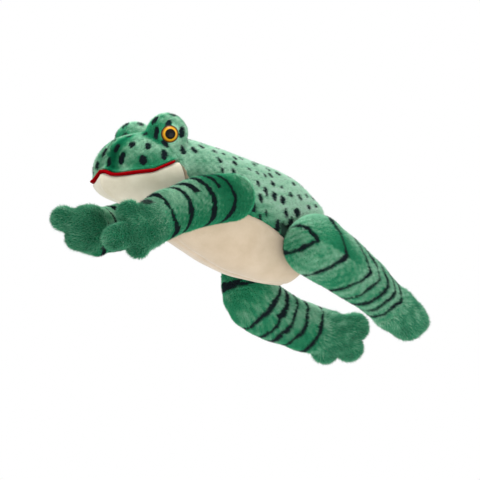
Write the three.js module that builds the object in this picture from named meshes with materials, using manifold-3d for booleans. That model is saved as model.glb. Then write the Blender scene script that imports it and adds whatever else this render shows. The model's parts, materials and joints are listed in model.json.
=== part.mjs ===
// A plush frog hand puppet in a leaping pose. Millimetres, +Z up. The frog faces -Y and its left
// side is +X. The origin is the centre of the opening that the hand goes in by, between the hips.
import * as THREE from 'three';
import { mergeVertices } from 'three/addons/utils/BufferGeometryUtils.js';
import Module from 'manifold-3d';

const wasm = await Module();
wasm.setup();
const { Manifold, Mesh } = wasm;

const at = (x, y, z) => new THREE.Vector3(x, y, z);
const DEG = Math.PI / 180;

// ---- Driving dimensions ------------------------------------------------------------------

const GAP = 0.3;              // between pieces that touch
const PLUSH = 3;              // plush cloth with its pile
const LINER = 1.2;            // glove lining and pocket cloth
const BOARD = 2;              // stiffener boards of the mouth
const FELT = 1.4;             // mouth lining

const SHOULDER_HALF = 52;     // half the width of the torso between the arms
const HIP_HALF = 42;          // half the width of the torso between the thighs
const BACK_RISE = 90;         // height of the back above the opening's centre, at its middle
const BELLY_DROP = 33;        // depth of the belly below the opening's centre
const RUMP_TILT = 19 * DEG;   // how far the opening faces down from straight back

const OPENING_HALF_WIDTH = 34;
const OPENING_HALF_HEIGHT = 22;
const HEM_WIDTH = 3.5;        // how far the hem laps onto the rump around the opening
const HEM_DEPTH = 3;

const NECK = at(0, -142, 58); // where the head turns and nods
const NECK_RADIUS = 42;
const NECK_HALF_LENGTH = 13;
const NECK_CLEAR = 14 * DEG;  // on each side of the neck's middle plane
const NECK_LINING_HALF = 29;  // half the width of the glove lining where it meets the neck

const SNOUT_Y = -239;
const HEAD_HALF = 50;
const HEAD_HALF_HEIGHT = 37;
const MOUTH_HINGE = at(0, -181, 69);
const MOUTH_SLOPE = 9 * DEG;  // the mouth rises by this from the snout to its corners
const JAW_OPEN = 30 * DEG;
const FINGER_ROOM = at(32, 44, 9.5);  // half sizes of the pocket for the fingers
const THUMB_ROOM = at(13, 36, 7.5);   // half sizes of the pocket for the thumb

const EYE_MOUND_RADIUS = 21;
const EYE_MOUND = at(27, -180, 99);
const EYE_FACING = at(0.893, -0.447, -0.2).normalize();
const EYE_RADIUS = 8.4;
const EYE_BULGE = 4.3;
const PUPIL_RADIUS = 4.9;
const PUPIL_DEPTH = 1.6;
const STEM_RADIUS = 2.5;
const STEM_LENGTH = 11;
const WASHER_RADIUS = 7;
const WASHER_THICKNESS = 1.6;

const SHOULDER_RADIUS = 24;
const ELBOW_RADIUS = 20.5;
const WRIST_RADIUS = 20;
const PALM_RADIUS = 19.5;
const FINGER_RADIUS = 11;

const HIP_RADIUS = 30;
const KNEE_RADIUS = 27;
const ANKLE_RADIUS = 22;
const FOOT_RADIUS = 20;
const TOE_RADIUS = 11;
const BALL_INSET = 7;         // the stuffed ball inside each limb joint is this much slimmer
const ROUND_STEPS = 2;        // facets of a quarter turn at a limb's end

const HIP_CLEAR = 42;         // the thighs keep this far from the hip axis beside the torso

// The joints of each limb, and the angles in degrees about +X that they go through from rest.
const ARMS = {
  left: {
    joints: [at(62, -126, 36), at(77, -219, 6)],
    radii: [SHOULDER_RADIUS, WRIST_RADIUS],
    palm: at(75, -246, -11),
    fingers: [at(74, -259, 3), at(76, -277, -24), at(74, -248, -30)],
    wrist: [-25, 25],
  },
  right: {
    joints: [at(-62, -126, 36), at(-88, -163, 19), at(-71, -199, 14)],
    radii: [SHOULDER_RADIUS, ELBOW_RADIUS, WRIST_RADIUS],
    palm: at(-64, -210, 14),
    fingers: [at(-75, -232, 23), at(-71, -220, 3), at(-72, -191, 0)],
    wrist: [-25, 25],
  },
};
const LEGS = {
  left: {
    joints: [at(60, -20, 5), at(54, 32, -19.5), at(43, 93, -51)],
    foot: at(40, 116, -62),
    toes: [at(36, 126, -52), at(40, 131, -63), at(42, 121, -70)],
    hipRearward: 8,
    knee: [-5, 50],
    ankle: [-20, 20],
  },
  right: {
    joints: [at(-60, -20, 5), at(-58, -5, -41), at(-55, 56, -62)],
    foot: at(-52, 84, -66),
    toes: [at(-44, 112, -58), at(-52, 111, -78), at(-60, 85, -82)],
    hipRearward: 40,
    knee: [-40, 12],
    ankle: [-20, 20],
  },
};

// Side profile of the torso: y, half width, top and bottom.
const SHOULDER_RISE = 102;
const TORSO = [
  [-185, SHOULDER_HALF - 5, SHOULDER_RISE - 3, 28],
  [-150, SHOULDER_HALF - 3, SHOULDER_RISE - 5, 4],
  [-119, SHOULDER_HALF, SHOULDER_RISE - 6, 19 - BELLY_DROP],
  [-87, SHOULDER_HALF - 1, BACK_RISE + 1, 7 - BELLY_DROP],
  [-48, HIP_HALF, BACK_RISE - 2, 1 - BELLY_DROP],
  [-10, HIP_HALF, BACK_RISE - 13, -BELLY_DROP],
  [15, HIP_HALF - 1, BACK_RISE - 28, -BELLY_DROP],
  [60, HIP_HALF - 6, BACK_RISE - 53, -BELLY_DROP],
];
// Side profile of the hollow for the hand: y, half width, top and bottom.
const GLOVE = [
  [-150, NECK_LINING_HALF, NECK.z + 29, NECK.z - 27],
  [-100, NECK_LINING_HALF + 5, 75, 17],
  [-50, OPENING_HALF_WIDTH + 1, 50, -8],
  [0, OPENING_HALF_WIDTH, OPENING_HALF_HEIGHT, -OPENING_HALF_HEIGHT],
  [40, OPENING_HALF_WIDTH, OPENING_HALF_HEIGHT - 14, -OPENING_HALF_HEIGHT - 14],
];
// The seam along each side, where the green back meets the cream belly.
const SIDE_SEAM = [[-200, 36], [-140, 30], [-104, 25], [-68, 18], [-33, 6], [0, -6], [60, -20]];
// Side profile of the head: y, half width, top and bottom.
const CROWN = MOUTH_HINGE.z - 3;
const HEAD = [
  [SNOUT_Y, HEAD_HALF, CROWN - 3 + HEAD_HALF_HEIGHT, CROWN - 5 - HEAD_HALF_HEIGHT],
  [-205, HEAD_HALF, CROWN + HEAD_HALF_HEIGHT, CROWN - HEAD_HALF_HEIGHT],
  [-180, HEAD_HALF, CROWN + HEAD_HALF_HEIGHT, CROWN - 2 - HEAD_HALF_HEIGHT],
  [-150, HEAD_HALF - 1, CROWN - 1 + HEAD_HALF_HEIGHT, CROWN - 17 - HEAD_HALF_HEIGHT],
  [-100, HEAD_HALF - 4, CROWN - 3 + HEAD_HALF_HEIGHT, CROWN - 20 - HEAD_HALF_HEIGHT],
];

// ---- Solids ------------------------------------------------------------------------------

function solid(geometry) {
  const bare = new THREE.BufferGeometry();
  bare.setAttribute('position', geometry.getAttribute('position'));
  bare.setIndex(geometry.getIndex());
  const merged = mergeVertices(bare, 1e-4);
  const corners = merged.getIndex().array;
  const triVerts = [];
  for (let i = 0; i < corners.length; i += 3) {
    const [a, b, c] = corners.slice(i, i + 3);
    if (a !== b && b !== c && c !== a) triVerts.push(a, b, c);
  }
  const vertProperties = Float32Array.from(merged.getAttribute('position').array);
  return new Manifold(new Mesh({ numProp: 3, vertProperties, triVerts: Uint32Array.from(triVerts) }));
}

// Turns a shape made along +Y to lie along a direction from a point.
function laid(geometry, from, direction) {
  const turn = new THREE.Quaternion().setFromUnitVectors(at(0, 1, 0), direction.clone().normalize());
  return geometry.applyQuaternion(turn).translate(from.x, from.y, from.z);
}

function ball(centre, radius, around = 12) {
  const sphere = new THREE.SphereGeometry(radius, around, Math.round(around * 0.6));
  return solid(sphere.translate(centre.x, centre.y, centre.z));
}

// A ball-shaped room whose flats stay outside a faceted ball that turns in it.
function socket(centre, radius, around = 12) {
  const rings = Math.round(around * 0.6);
  const spread = Math.cos(Math.PI / around) * Math.cos(Math.PI / 2 / rings);
  return ball(centre, (radius + GAP) / spread, around);
}

function egg(centre, halves, tilt, around = 12) {
  const sphere = new THREE.SphereGeometry(1, around, 8).scale(halves.x, halves.y, halves.z);
  return solid(sphere.rotateX(tilt).translate(centre.x, centre.y, centre.z));
}

// A rod from near to far along a direction that starts at a point.
function rod(from, direction, near, far, radius, around = 12) {
  const cylinder = new THREE.CylinderGeometry(radius, radius, far - near, around);
  return solid(laid(cylinder.translate(0, (near + far) / 2, 0), from, direction));
}

// A capsule with a different radius at each end, as a closed profile turned about its axis.
function capsule(from, to, radiusFrom, radiusTo, around = 10) {
  const length = from.distanceTo(to);
  const profile = [];
  for (let i = 0; i <= ROUND_STEPS; i += 1) {
    const angle = (i / ROUND_STEPS - 1) * Math.PI / 2;
    profile.push(new THREE.Vector2(radiusFrom * Math.cos(angle), radiusFrom * Math.sin(angle)));
  }
  for (let i = 0; i <= ROUND_STEPS; i += 1) {
    const angle = (i / ROUND_STEPS) * Math.PI / 2;
    profile.push(new THREE.Vector2(radiusTo * Math.cos(angle), length + radiusTo * Math.sin(angle)));
  }
  profile[0].x = 0;
  profile[profile.length - 1].x = 0;
  return solid(laid(new THREE.LatheGeometry(profile, around), from, to.clone().sub(from)));
}

// A body of oval sections along Y, each side moved out by grow. A station is
// [y, half width, top, bottom], and the ends close with a superellipse of this power.
function loft(stations, front, back, power, grow, around, along) {
  const sections = new THREE.CubicInterpolant(
    stations.map((station) => station[0]), stations.flatMap((station) => station.slice(1)), 3);
  const geometry = new THREE.SphereGeometry(1, around, along);
  const position = geometry.getAttribute('position');
  const middle = (front + back) / 2;
  const reach = (back - front) / 2 + grow;
  for (let i = 0; i < position.count; i += 1) {
    const along01 = position.getY(i);
    const ring = Math.hypot(position.getX(i), position.getZ(i));
    const y = middle + reach * along01;
    const [half, top, bottom] = sections.evaluate(Math.min(back, Math.max(front, y)));
    const round = Math.max(0, 1 - Math.abs(along01) ** power) ** (1 / power);
    const scale = ring > 1e-6 ? round / ring : 0;
    position.setXYZ(
      i,
      position.getX(i) * scale * (half + grow),
      y,
      (top + bottom) / 2 + position.getZ(i) * scale * ((top - bottom) / 2 + grow));
  }
  return solid(geometry);
}

// An outline in the YZ plane, extruded along X.
function slab(outline, xFrom = -200, xTo = 200) {
  const shape = new THREE.Shape(outline.map(([y, z]) => new THREE.Vector2(y, z)));
  const geometry = new THREE.ExtrudeGeometry(shape, { depth: xTo - xFrom, bevelEnabled: false });
  geometry.translate(0, 0, xFrom);
  geometry.applyMatrix4(new THREE.Matrix4().makeBasis(at(0, 1, 0), at(0, 0, 1), at(1, 0, 0)));
  return solid(geometry);
}

// Everything on one side of a plane through a point.
function halfSpace(point, normal, size = 600) {
  const box = new THREE.BoxGeometry(size, size, size).translate(0, -size / 2, 0);
  return solid(laid(box, point, normal));
}

function join(...pieces) {
  return pieces.reduce((whole, piece) => whole.add(piece));
}

// ---- The scene graph ---------------------------------------------------------------------

const COLOURS = {
  green: [0x74b48f, 0.95],
  handGreen: [0x3f8f6a, 0.95],
  cream: [0xd9c7ac, 0.9],
  lining: [0x2f4f43, 0.9],
  hem: [0x35684f, 0.9],
  stuffing: [0xf2efe8, 1],
  board: [0xb9b2a0, 0.8],
  red: [0xb1101a, 0.85],
  amber: [0xe2a72e, 0.12],
  black: [0x0a0a0a, 0.15],
  washer: [0xe9e9e4, 0.5],
};
const materials = Object.fromEntries(Object.entries(COLOURS).map(([name, [color, roughness]]) => (
  [name, new THREE.MeshStandardMaterial({ name, color, roughness, metalness: 0 })])));

function body(parent, pivot) {
  const group = new THREE.Group();
  group.userData.pivot = pivot.clone();
  group.position.copy(pivot);
  if (parent) {
    group.position.sub(parent.userData.pivot);
    parent.add(group);
  }
  return group;
}

function addPiece(group, name, shape, material) {
  const { vertProperties, triVerts, numProp } = shape.getMesh();
  if (numProp !== 3) throw new Error(`${name} carries more than positions`);
  const geometry = new THREE.BufferGeometry();
  geometry.setAttribute('position', new THREE.Float32BufferAttribute(vertProperties, 3));
  geometry.setIndex([...triVerts]);
  const pivot = group.userData.pivot;
  geometry.translate(-pivot.x, -pivot.y, -pivot.z);
  geometry.computeVertexNormals();
  const mesh = new THREE.Mesh(geometry, materials[material]);
  mesh.name = name;
  group.add(mesh);
}

// ---- Torso -------------------------------------------------------------------------------

const torso = body(null, at(0, 0, 0));
const rumpNormal = at(0, Math.cos(RUMP_TILT), -Math.sin(RUMP_TILT));
const behind = (offset) => halfSpace(rumpNormal.clone().multiplyScalar(offset), rumpNormal);
const neckBall = socket(NECK, NECK_RADIUS, 18);

// The space on one side of the neck that a piece may fill, a wide cone with its tip at the pivot.
function neckSide(direction) {
  const height = 220;
  const radius = height / Math.tan(NECK_CLEAR);
  const cone = new THREE.ConeGeometry(radius, height, 40).rotateX(Math.PI).translate(0, height / 2, 0);
  return solid(laid(cone, NECK, direction));
}
const torsoSide = neckSide(at(0, 1, 0));
const headSide = neckSide(at(0, -1, 0));

const torsoForm = (grow) => loft(TORSO, -185, 60, 8, grow, 20, 13).intersect(behind(grow));
const gloveForm = (grow) => loft(GLOVE, -190, 80, 12, grow, 14, 10);

function seamSlab(drop, above) {
  const far = above ? 200 : -200;
  const seam = SIDE_SEAM.map(([y, z]) => [y, z - drop]);
  return slab([[60, far], [-200, far], ...seam]);
}

const torsoShell = torsoForm(0)
  .subtract(torsoForm(-PLUSH))
  .subtract(gloveForm(LINER + GAP))
  .intersect(torsoSide)
  .subtract(neckBall);
addPiece(torso, 'back_panel', torsoShell.intersect(seamSlab(0, true)), 'green');
const bellyShell = torsoShell.intersect(seamSlab(GAP, false));
const leftHalf = halfSpace(at(GAP / 2, 0, 0), at(-1, 0, 0));
const rightHalf = halfSpace(at(-GAP / 2, 0, 0), at(1, 0, 0));
addPiece(torso, 'belly_panel_left', bellyShell.intersect(leftHalf), 'cream');
addPiece(torso, 'belly_panel_right', bellyShell.intersect(rightHalf), 'cream');

const wadding = torsoForm(-PLUSH - GAP)
  .subtract(gloveForm(LINER + GAP))
  .intersect(torsoSide)
  .subtract(neckBall);
addPiece(torso, 'torso_wadding', wadding, 'stuffing');

const gloveLining = gloveForm(LINER)
  .subtract(gloveForm(0))
  .intersect(behind(0))
  .intersect(torsoSide)
  .subtract(neckBall);
addPiece(torso, 'glove_lining', gloveLining, 'lining');

const hem = gloveForm(HEM_WIDTH)
  .subtract(gloveForm(0))
  .intersect(behind(HEM_DEPTH))
  .subtract(behind(GAP));
addPiece(torso, 'glove_hem', hem, 'hem');

// ---- Neck --------------------------------------------------------------------------------

const neck = body(torso, NECK);
const neckSleeve = ball(NECK, NECK_RADIUS, 18)
  .subtract(ball(NECK, NECK_RADIUS - PLUSH, 18))
  .intersect(rod(NECK, at(0, 1, 0), -NECK_HALF_LENGTH, NECK_HALF_LENGTH, 2 * NECK_RADIUS));
addPiece(neck, 'neck_sleeve', neckSleeve, 'green');

// ---- Head --------------------------------------------------------------------------------

const head = body(neck, NECK);
const headForm = (grow) => loft(HEAD, SNOUT_Y, -61, 2.5, grow, 22, 15);
const mouthLine = at(0, -Math.cos(MOUTH_SLOPE), -Math.sin(MOUTH_SLOPE));
const mouthUp = at(0, -Math.sin(MOUTH_SLOPE), Math.cos(MOUTH_SLOPE));

// A point on the mouth's plane in front of the hinge, moved up off the plane.
function mouthPoint(forward, up) {
  const p = MOUTH_HINGE.clone().addScaledVector(mouthLine, forward).addScaledVector(mouthUp, up);
  return [p.y, p.z];
}
// The layer of the mouth between two heights above its plane.
function mouthLayer(low, high) {
  return slab([mouthPoint(0.5, low), mouthPoint(0.5, high), mouthPoint(90, high), mouthPoint(90, low)]);
}
// A point below the hinge, on the line that the jaw's back face reaches when it opens.
function throatPoint(down) {
  const angle = JAW_OPEN + 2 * DEG;
  return [MOUTH_HINGE.y + 1 + down * Math.sin(angle), MOUTH_HINGE.z - down * Math.cos(angle)];
}
const upperJaw = slab([
  mouthPoint(90, FELT + 2 * GAP), mouthPoint(-1, FELT + 2 * GAP), throatPoint(0), throatPoint(95),
  [-40, -12], [-40, 170], [-280, 170],
]);
const upperCore = slab([
  mouthPoint(90, FELT + BOARD + 3 * GAP), mouthPoint(-1, FELT + BOARD + 3 * GAP),
  [MOUTH_HINGE.y + 30, MOUTH_HINGE.z + 5], [-40, 80], [-40, 170], [-280, 170],
]);
const lowerJaw = slab([
  mouthPoint(0, -FELT - 2 * GAP), mouthPoint(90, -FELT - 2 * GAP), [-280, -20], [MOUTH_HINGE.y, -20],
]);
const lowerCore = slab([
  mouthPoint(0, -FELT - BOARD - 3 * GAP), mouthPoint(90, -FELT - BOARD - 3 * GAP),
  [-280, -20], [MOUTH_HINGE.y, -20],
]);

const fingerForm = (grow) => egg(
  at(0, MOUTH_HINGE.y + 3, MOUTH_HINGE.z + 15.5), FINGER_ROOM.clone().addScalar(grow), MOUTH_SLOPE);
const thumbForm = (grow) => egg(
  at(0, MOUTH_HINGE.y - 1, MOUTH_HINGE.z - 18), THUMB_ROOM.clone().addScalar(grow), MOUTH_SLOPE / 2);

const eyes = [['left', 1], ['right', -1]].map(([side, sign]) => {
  const centre = at(sign * EYE_MOUND.x, EYE_MOUND.y, EYE_MOUND.z);
  const facing = at(sign * EYE_FACING.x, EYE_FACING.y, EYE_FACING.z);
  return { side, centre, facing };
});
const eyeSeat = Math.sqrt(EYE_MOUND_RADIUS ** 2 - EYE_RADIUS ** 2);

const headShell = headForm(0).subtract(headForm(-PLUSH)).intersect(headSide).intersect(upperJaw);
const outsideNeck = headShell.subtract(neckBall);
addPiece(head, 'head_panel_left', outsideNeck.intersect(leftHalf), 'green');
addPiece(head, 'head_panel_right', outsideNeck.intersect(rightHalf), 'green');

const headStuffing = headForm(-PLUSH - GAP)
  .intersect(upperCore)
  .intersect(headSide)
  .subtract(neckBall)
  .subtract(fingerForm(LINER + GAP));
addPiece(head, 'head_stuffing', headStuffing, 'stuffing');
const pocketMouth = halfSpace(at(0, MOUTH_HINGE.y + 3, 0), at(0, 1, 0));
const fingerPocket = fingerForm(LINER).subtract(fingerForm(0)).subtract(neckBall).intersect(pocketMouth);
addPiece(head, 'finger_pocket', fingerPocket, 'lining');

const palateBoard = headForm(-PLUSH - GAP)
  .intersect(mouthLayer(FELT + 2 * GAP, FELT + 2 * GAP + BOARD))
  .subtract(neckBall);
addPiece(head, 'palate_board', palateBoard, 'board');
addPiece(head, 'palate_lining', headForm(0).intersect(mouthLayer(GAP, GAP + FELT)).subtract(neckBall), 'red');

for (const { side, centre, facing } of eyes) {
  const seat = centre.clone().addScaledVector(facing, eyeSeat);
  const washerAt = -PLUSH - GAP - WASHER_THICKNESS;
  const mound = ball(centre, EYE_MOUND_RADIUS, 14)
    .subtract(headForm(GAP))
    .subtract(rod(seat, facing, 0, EYE_MOUND_RADIUS, EYE_RADIUS * 2))
    .subtract(rod(seat, facing, -STEM_LENGTH - GAP, 1, STEM_RADIUS + GAP, 8))
    .subtract(rod(seat, facing, washerAt - GAP, -PLUSH, WASHER_RADIUS + GAP));
  addPiece(head, `eye_mound_${side}`, mound, 'green');

  // The moulded eye is a lens on a flat back, with a stem through the cloth.
  const lensRadius = (EYE_RADIUS ** 2 + EYE_BULGE ** 2) / (2 * EYE_BULGE);
  const lens = ball(seat.clone().addScaledVector(facing, GAP + EYE_BULGE - lensRadius), lensRadius, 16)
    .intersect(rod(seat, facing, GAP, EYE_BULGE + 1, EYE_RADIUS + 1));
  const pupilRoom = rod(seat, facing, GAP + EYE_BULGE - PUPIL_DEPTH, EYE_BULGE + 2, PUPIL_RADIUS);
  const stem = rod(seat, facing, -STEM_LENGTH, GAP + 1, STEM_RADIUS, 8);
  addPiece(head, `eye_${side}`, join(lens.subtract(pupilRoom), stem), 'amber');
  const pupil = lens.intersect(
    rod(seat, facing, 2 * GAP + EYE_BULGE - PUPIL_DEPTH, EYE_BULGE + 2, PUPIL_RADIUS - GAP));
  addPiece(head, `pupil_${side}`, pupil, 'black');
  const washer = rod(seat, facing, washerAt, washerAt + WASHER_THICKNESS, WASHER_RADIUS)
    .subtract(rod(seat, facing, washerAt - 1, 0, STEM_RADIUS + GAP, 8));
  addPiece(head, `eye_washer_${side}`, washer, 'washer');
}

// ---- Lower jaw ---------------------------------------------------------------------------

const jaw = body(head, MOUTH_HINGE);
const chin = headForm(0).subtract(headForm(-PLUSH)).intersect(lowerJaw).subtract(neckBall);
addPiece(jaw, 'chin_panel', chin, 'cream');
const jawStuffing = headForm(-PLUSH - GAP)
  .intersect(lowerCore)
  .subtract(neckBall)
  .subtract(thumbForm(LINER + GAP));
addPiece(jaw, 'jaw_stuffing', jawStuffing, 'stuffing');
const inJaw = slab([[MOUTH_HINGE.y, -20], [MOUTH_HINGE.y, 120], [-280, 120], [-280, -20]]);
const thumbPocket = thumbForm(LINER).subtract(thumbForm(0)).subtract(neckBall).intersect(inJaw);
addPiece(jaw, 'thumb_pocket', thumbPocket, 'lining');
const jawBoard = headForm(-PLUSH - GAP)
  .intersect(mouthLayer(-FELT - 2 * GAP - BOARD, -FELT - 2 * GAP))
  .subtract(neckBall);
addPiece(jaw, 'jaw_board', jawBoard, 'board');
addPiece(jaw, 'jaw_lining', headForm(0).intersect(mouthLayer(-GAP - FELT, -GAP)).subtract(neckBall), 'red');

// ---- Limbs -------------------------------------------------------------------------------

const bearing = (from, to) => Math.atan2(to.z - from.z, to.y - from.y);

// The part of the YZ plane around a joint between two bearings, as a solid across X. A sector of
// more than half a turn is what is left of the whole when the rest is cut away.
function sector(centre, from, to) {
  const reach = 400;
  const outline = [[centre.y, centre.z]];
  const steps = Math.ceil((to - from) / (60 * DEG));
  for (let i = 0; i <= steps; i += 1) {
    const angle = from + ((to - from) * i) / steps;
    outline.push([centre.y + reach * Math.cos(angle), centre.z + reach * Math.sin(angle)]);
  }
  return slab(outline);
}

// Where two limb pieces hinge about X, each keeps to its own side, so that they clear each other
// through the joint's whole range. Returns the space of the parent and that of the child.
function hingeSides(centre, before, after, [low, high]) {
  const parent = bearing(before, centre);
  let child = bearing(centre, after);
  if (child - parent > Math.PI) child -= 2 * Math.PI;
  if (parent - child > Math.PI) child += 2 * Math.PI;
  const clearance = 1 * DEG;
  const excessUp = Math.max(0, child + high * DEG - parent) / 2 + clearance;
  const excessDown = Math.max(0, parent - child - low * DEG) / 2 + clearance;
  const quarter = Math.PI / 2;
  return {
    parent: sector(centre, parent + quarter + excessUp, parent + 3 * quarter - excessDown),
    child: sector(centre, child - quarter + excessDown, child + quarter - excessUp),
  };
}

function limbForm(points, radii, grow, around) {
  const pieces = [];
  for (let i = 1; i < points.length; i += 1) {
    pieces.push(capsule(points[i - 1], points[i], radii[i - 1] + grow, radii[i] + grow, around));
  }
  return join(...pieces);
}

function paw(centre, radius, tips, tipRadius, wrist, wristRadius, grow) {
  const lobes = tips.map((tip) => capsule(centre, tip, tipRadius + grow, tipRadius + grow, 8));
  return join(capsule(wrist, centre, wristRadius + grow, radius + grow, 10), ...lobes);
}

// A cover and its stuffing. The stuffing alone carries the ball that the next piece bears on.
function addStuffed(group, name, form, space, joint, material) {
  const cover = form(0).subtract(form(-PLUSH)).intersect(space);
  addPiece(group, `${name}_cover`, cover, material);
  let filling = form(-PLUSH - GAP).intersect(space);
  if (joint) filling = join(filling, ball(joint.centre, joint.radius - BALL_INSET));
  addPiece(group, `${name}_stuffing`, filling, 'stuffing');
}

for (const [side, arm] of Object.entries(ARMS)) {
  const sign = side === 'left' ? 1 : -1;
  const shoulder = arm.joints[0];
  const [elbow, wrist] = arm.joints.slice(-2);
  const outside = halfSpace(at(sign * (SHOULDER_HALF + 2 * GAP), 0, 0), at(-sign, 0, 0));
  const upper = body(torso, shoulder);
  const armForm = (grow) => limbForm(arm.joints, arm.radii, grow, 10);
  const wristSides = hingeSides(wrist, elbow, arm.palm, arm.wrist);
  const joint = { centre: wrist, radius: WRIST_RADIUS };
  addStuffed(upper, `${side}_arm`, armForm, outside.intersect(wristSides.parent), joint, 'green');

  const hand = body(upper, wrist);
  const handForm = (grow) => paw(
    arm.palm, PALM_RADIUS, arm.fingers, FINGER_RADIUS, wrist, WRIST_RADIUS, grow);
  const handSpace = wristSides.child.subtract(socket(wrist, WRIST_RADIUS - BALL_INSET));
  addStuffed(hand, `${side}_hand`, handForm, handSpace, null, 'handGreen');
}

for (const [side, leg] of Object.entries(LEGS)) {
  const sign = side === 'left' ? 1 : -1;
  const [hip, knee, ankle] = leg.joints;
  const outside = halfSpace(at(sign * (HIP_HALF + 2 * GAP), 0, 0), at(-sign, 0, 0));
  const clearOfTorso = rod(at(-150, hip.y, hip.z), at(1, 0, 0), 0, 300, HIP_CLEAR, 32);
  const thighSpace = join(outside, halfSpace(at(0, 150, 0), at(0, 1, 0)).subtract(clearOfTorso)
    .intersect(sector(hip, -170 * DEG, bearing(hip, at(0, 24, BACK_RISE - 32)) - leg.hipRearward * DEG)));
  const thigh = body(torso, hip);
  const thighForm = (grow) => limbForm([hip, knee], [HIP_RADIUS, KNEE_RADIUS], grow, 12);
  const kneeSides = hingeSides(knee, hip, ankle, leg.knee);
  const kneeBall = { centre: knee, radius: KNEE_RADIUS };
  addStuffed(thigh, `${side}_thigh`, thighForm, thighSpace.intersect(kneeSides.parent), kneeBall, 'green');

  const shank = body(thigh, knee);
  const shankForm = (grow) => limbForm([knee, ankle], [KNEE_RADIUS, ANKLE_RADIUS], grow, 12);
  const ankleSides = hingeSides(ankle, knee, leg.foot, leg.ankle);
  const ankleBall = { centre: ankle, radius: ANKLE_RADIUS };
  const shankSpace = kneeSides.child
    .intersect(ankleSides.parent)
    .subtract(socket(knee, KNEE_RADIUS - BALL_INSET));
  addStuffed(shank, `${side}_shank`, shankForm, shankSpace, ankleBall, 'green');

  const foot = body(shank, ankle);
  const footForm = (grow) => paw(
    leg.foot, FOOT_RADIUS, leg.toes, TOE_RADIUS, ankle, ANKLE_RADIUS, grow);
  const footSpace = ankleSides.child.subtract(socket(ankle, ANKLE_RADIUS - BALL_INSET));
  addStuffed(foot, `${side}_foot`, footForm, footSpace, null, 'handGreen');
}

export default torso;
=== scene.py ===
"""A plush frog hand puppet: short pile, a lined glove body, a felt mouth and moulded eyes."""
import itertools
import json
import math

import bmesh
import bpy
import numpy as np
from bpy.props import FloatProperty, FloatVectorProperty, IntProperty, PointerProperty
from mathutils.kdtree import KDTree
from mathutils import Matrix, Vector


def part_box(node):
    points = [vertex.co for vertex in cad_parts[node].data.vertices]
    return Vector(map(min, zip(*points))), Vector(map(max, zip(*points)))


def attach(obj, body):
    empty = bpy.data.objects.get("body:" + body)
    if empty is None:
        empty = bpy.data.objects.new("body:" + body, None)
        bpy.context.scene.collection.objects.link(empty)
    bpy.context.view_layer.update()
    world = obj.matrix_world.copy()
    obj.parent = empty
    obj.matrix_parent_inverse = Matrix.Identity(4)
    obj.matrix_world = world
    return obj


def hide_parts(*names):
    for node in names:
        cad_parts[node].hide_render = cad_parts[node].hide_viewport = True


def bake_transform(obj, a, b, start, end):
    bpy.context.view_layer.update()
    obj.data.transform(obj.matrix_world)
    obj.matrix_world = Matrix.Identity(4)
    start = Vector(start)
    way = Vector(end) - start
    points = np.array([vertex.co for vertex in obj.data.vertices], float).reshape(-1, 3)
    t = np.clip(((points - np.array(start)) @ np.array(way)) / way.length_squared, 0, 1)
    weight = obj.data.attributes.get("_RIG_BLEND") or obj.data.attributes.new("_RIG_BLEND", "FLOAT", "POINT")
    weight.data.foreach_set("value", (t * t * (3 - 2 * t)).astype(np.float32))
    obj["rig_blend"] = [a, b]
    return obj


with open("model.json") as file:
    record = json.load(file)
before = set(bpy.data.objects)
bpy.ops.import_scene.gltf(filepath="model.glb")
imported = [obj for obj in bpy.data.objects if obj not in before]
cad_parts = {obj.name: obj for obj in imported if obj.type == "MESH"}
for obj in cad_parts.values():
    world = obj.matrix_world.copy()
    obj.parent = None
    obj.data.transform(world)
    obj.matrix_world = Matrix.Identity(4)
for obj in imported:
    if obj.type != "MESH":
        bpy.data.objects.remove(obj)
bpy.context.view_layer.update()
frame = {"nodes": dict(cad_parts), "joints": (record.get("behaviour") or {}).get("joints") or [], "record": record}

bl_info = {
    "name": "Plush Frog Puppet",
    "version": (1, 0, 0),
    "blender": (4, 5, 0),
    "location": "View3D > Sidebar > Frog",
    "description": "Makes a plush frog hand puppet over its measured parts",
    "category": "Add Mesh",
}

MM = 0.001
SIDES = (("left", 1.0), ("right", -1.0))
PIVOTS = {j["name"]: np.array(j["pos_m"]) / MM for j in frame["joints"] if "pos_m" in j}
HINGE = PIVOTS["jaw_open"]


def node_box(name):
    """A CAD node's lowest and highest corners, in millimetres."""
    low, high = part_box(name)
    return np.array(low) / MM, np.array(high) / MM


# ---- Sizes and colours ---------------------------------------------------------------------


def length(name, default, description):
    return FloatProperty(
        name=name, default=default, min=0.0, unit="LENGTH", precision=5, description=description
    )


def colour(name, default, description):
    return FloatVectorProperty(
        name=name, default=default, size=4, min=0.0, max=1.0, subtype="COLOR", description=description
    )


class FrogSizes(bpy.types.PropertyGroup):
    """Sizes of the cloth, its pile and its markings."""

    pile: length("Pile", 0.0036, "Length of the green plush's pile")
    paw_pile: length("Paw pile", 0.0056, "Length of the pile on the hands and feet")
    fibre: length("Fibre", 0.00052, "Width of one tuft of pile at its root")
    density: FloatProperty(
        name="Density", default=2.3, min=0.1, description="Tufts of pile on each square millimetre"
    )
    seam: length("Seam", 0.0016, "How far a seam pulls the cloth in")
    piping: length("Piping", 0.0010, "Radius of the red cord round the mouth")
    spot_gap: length("Spot gap", 0.0118, "Least distance between two spots on the back")
    skin_step: length("Skin step", 0.0024, "Distance between points of a skin")
    seed: IntProperty(name="Seed", default=7, min=0, description="Seed of everything scattered")


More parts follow.
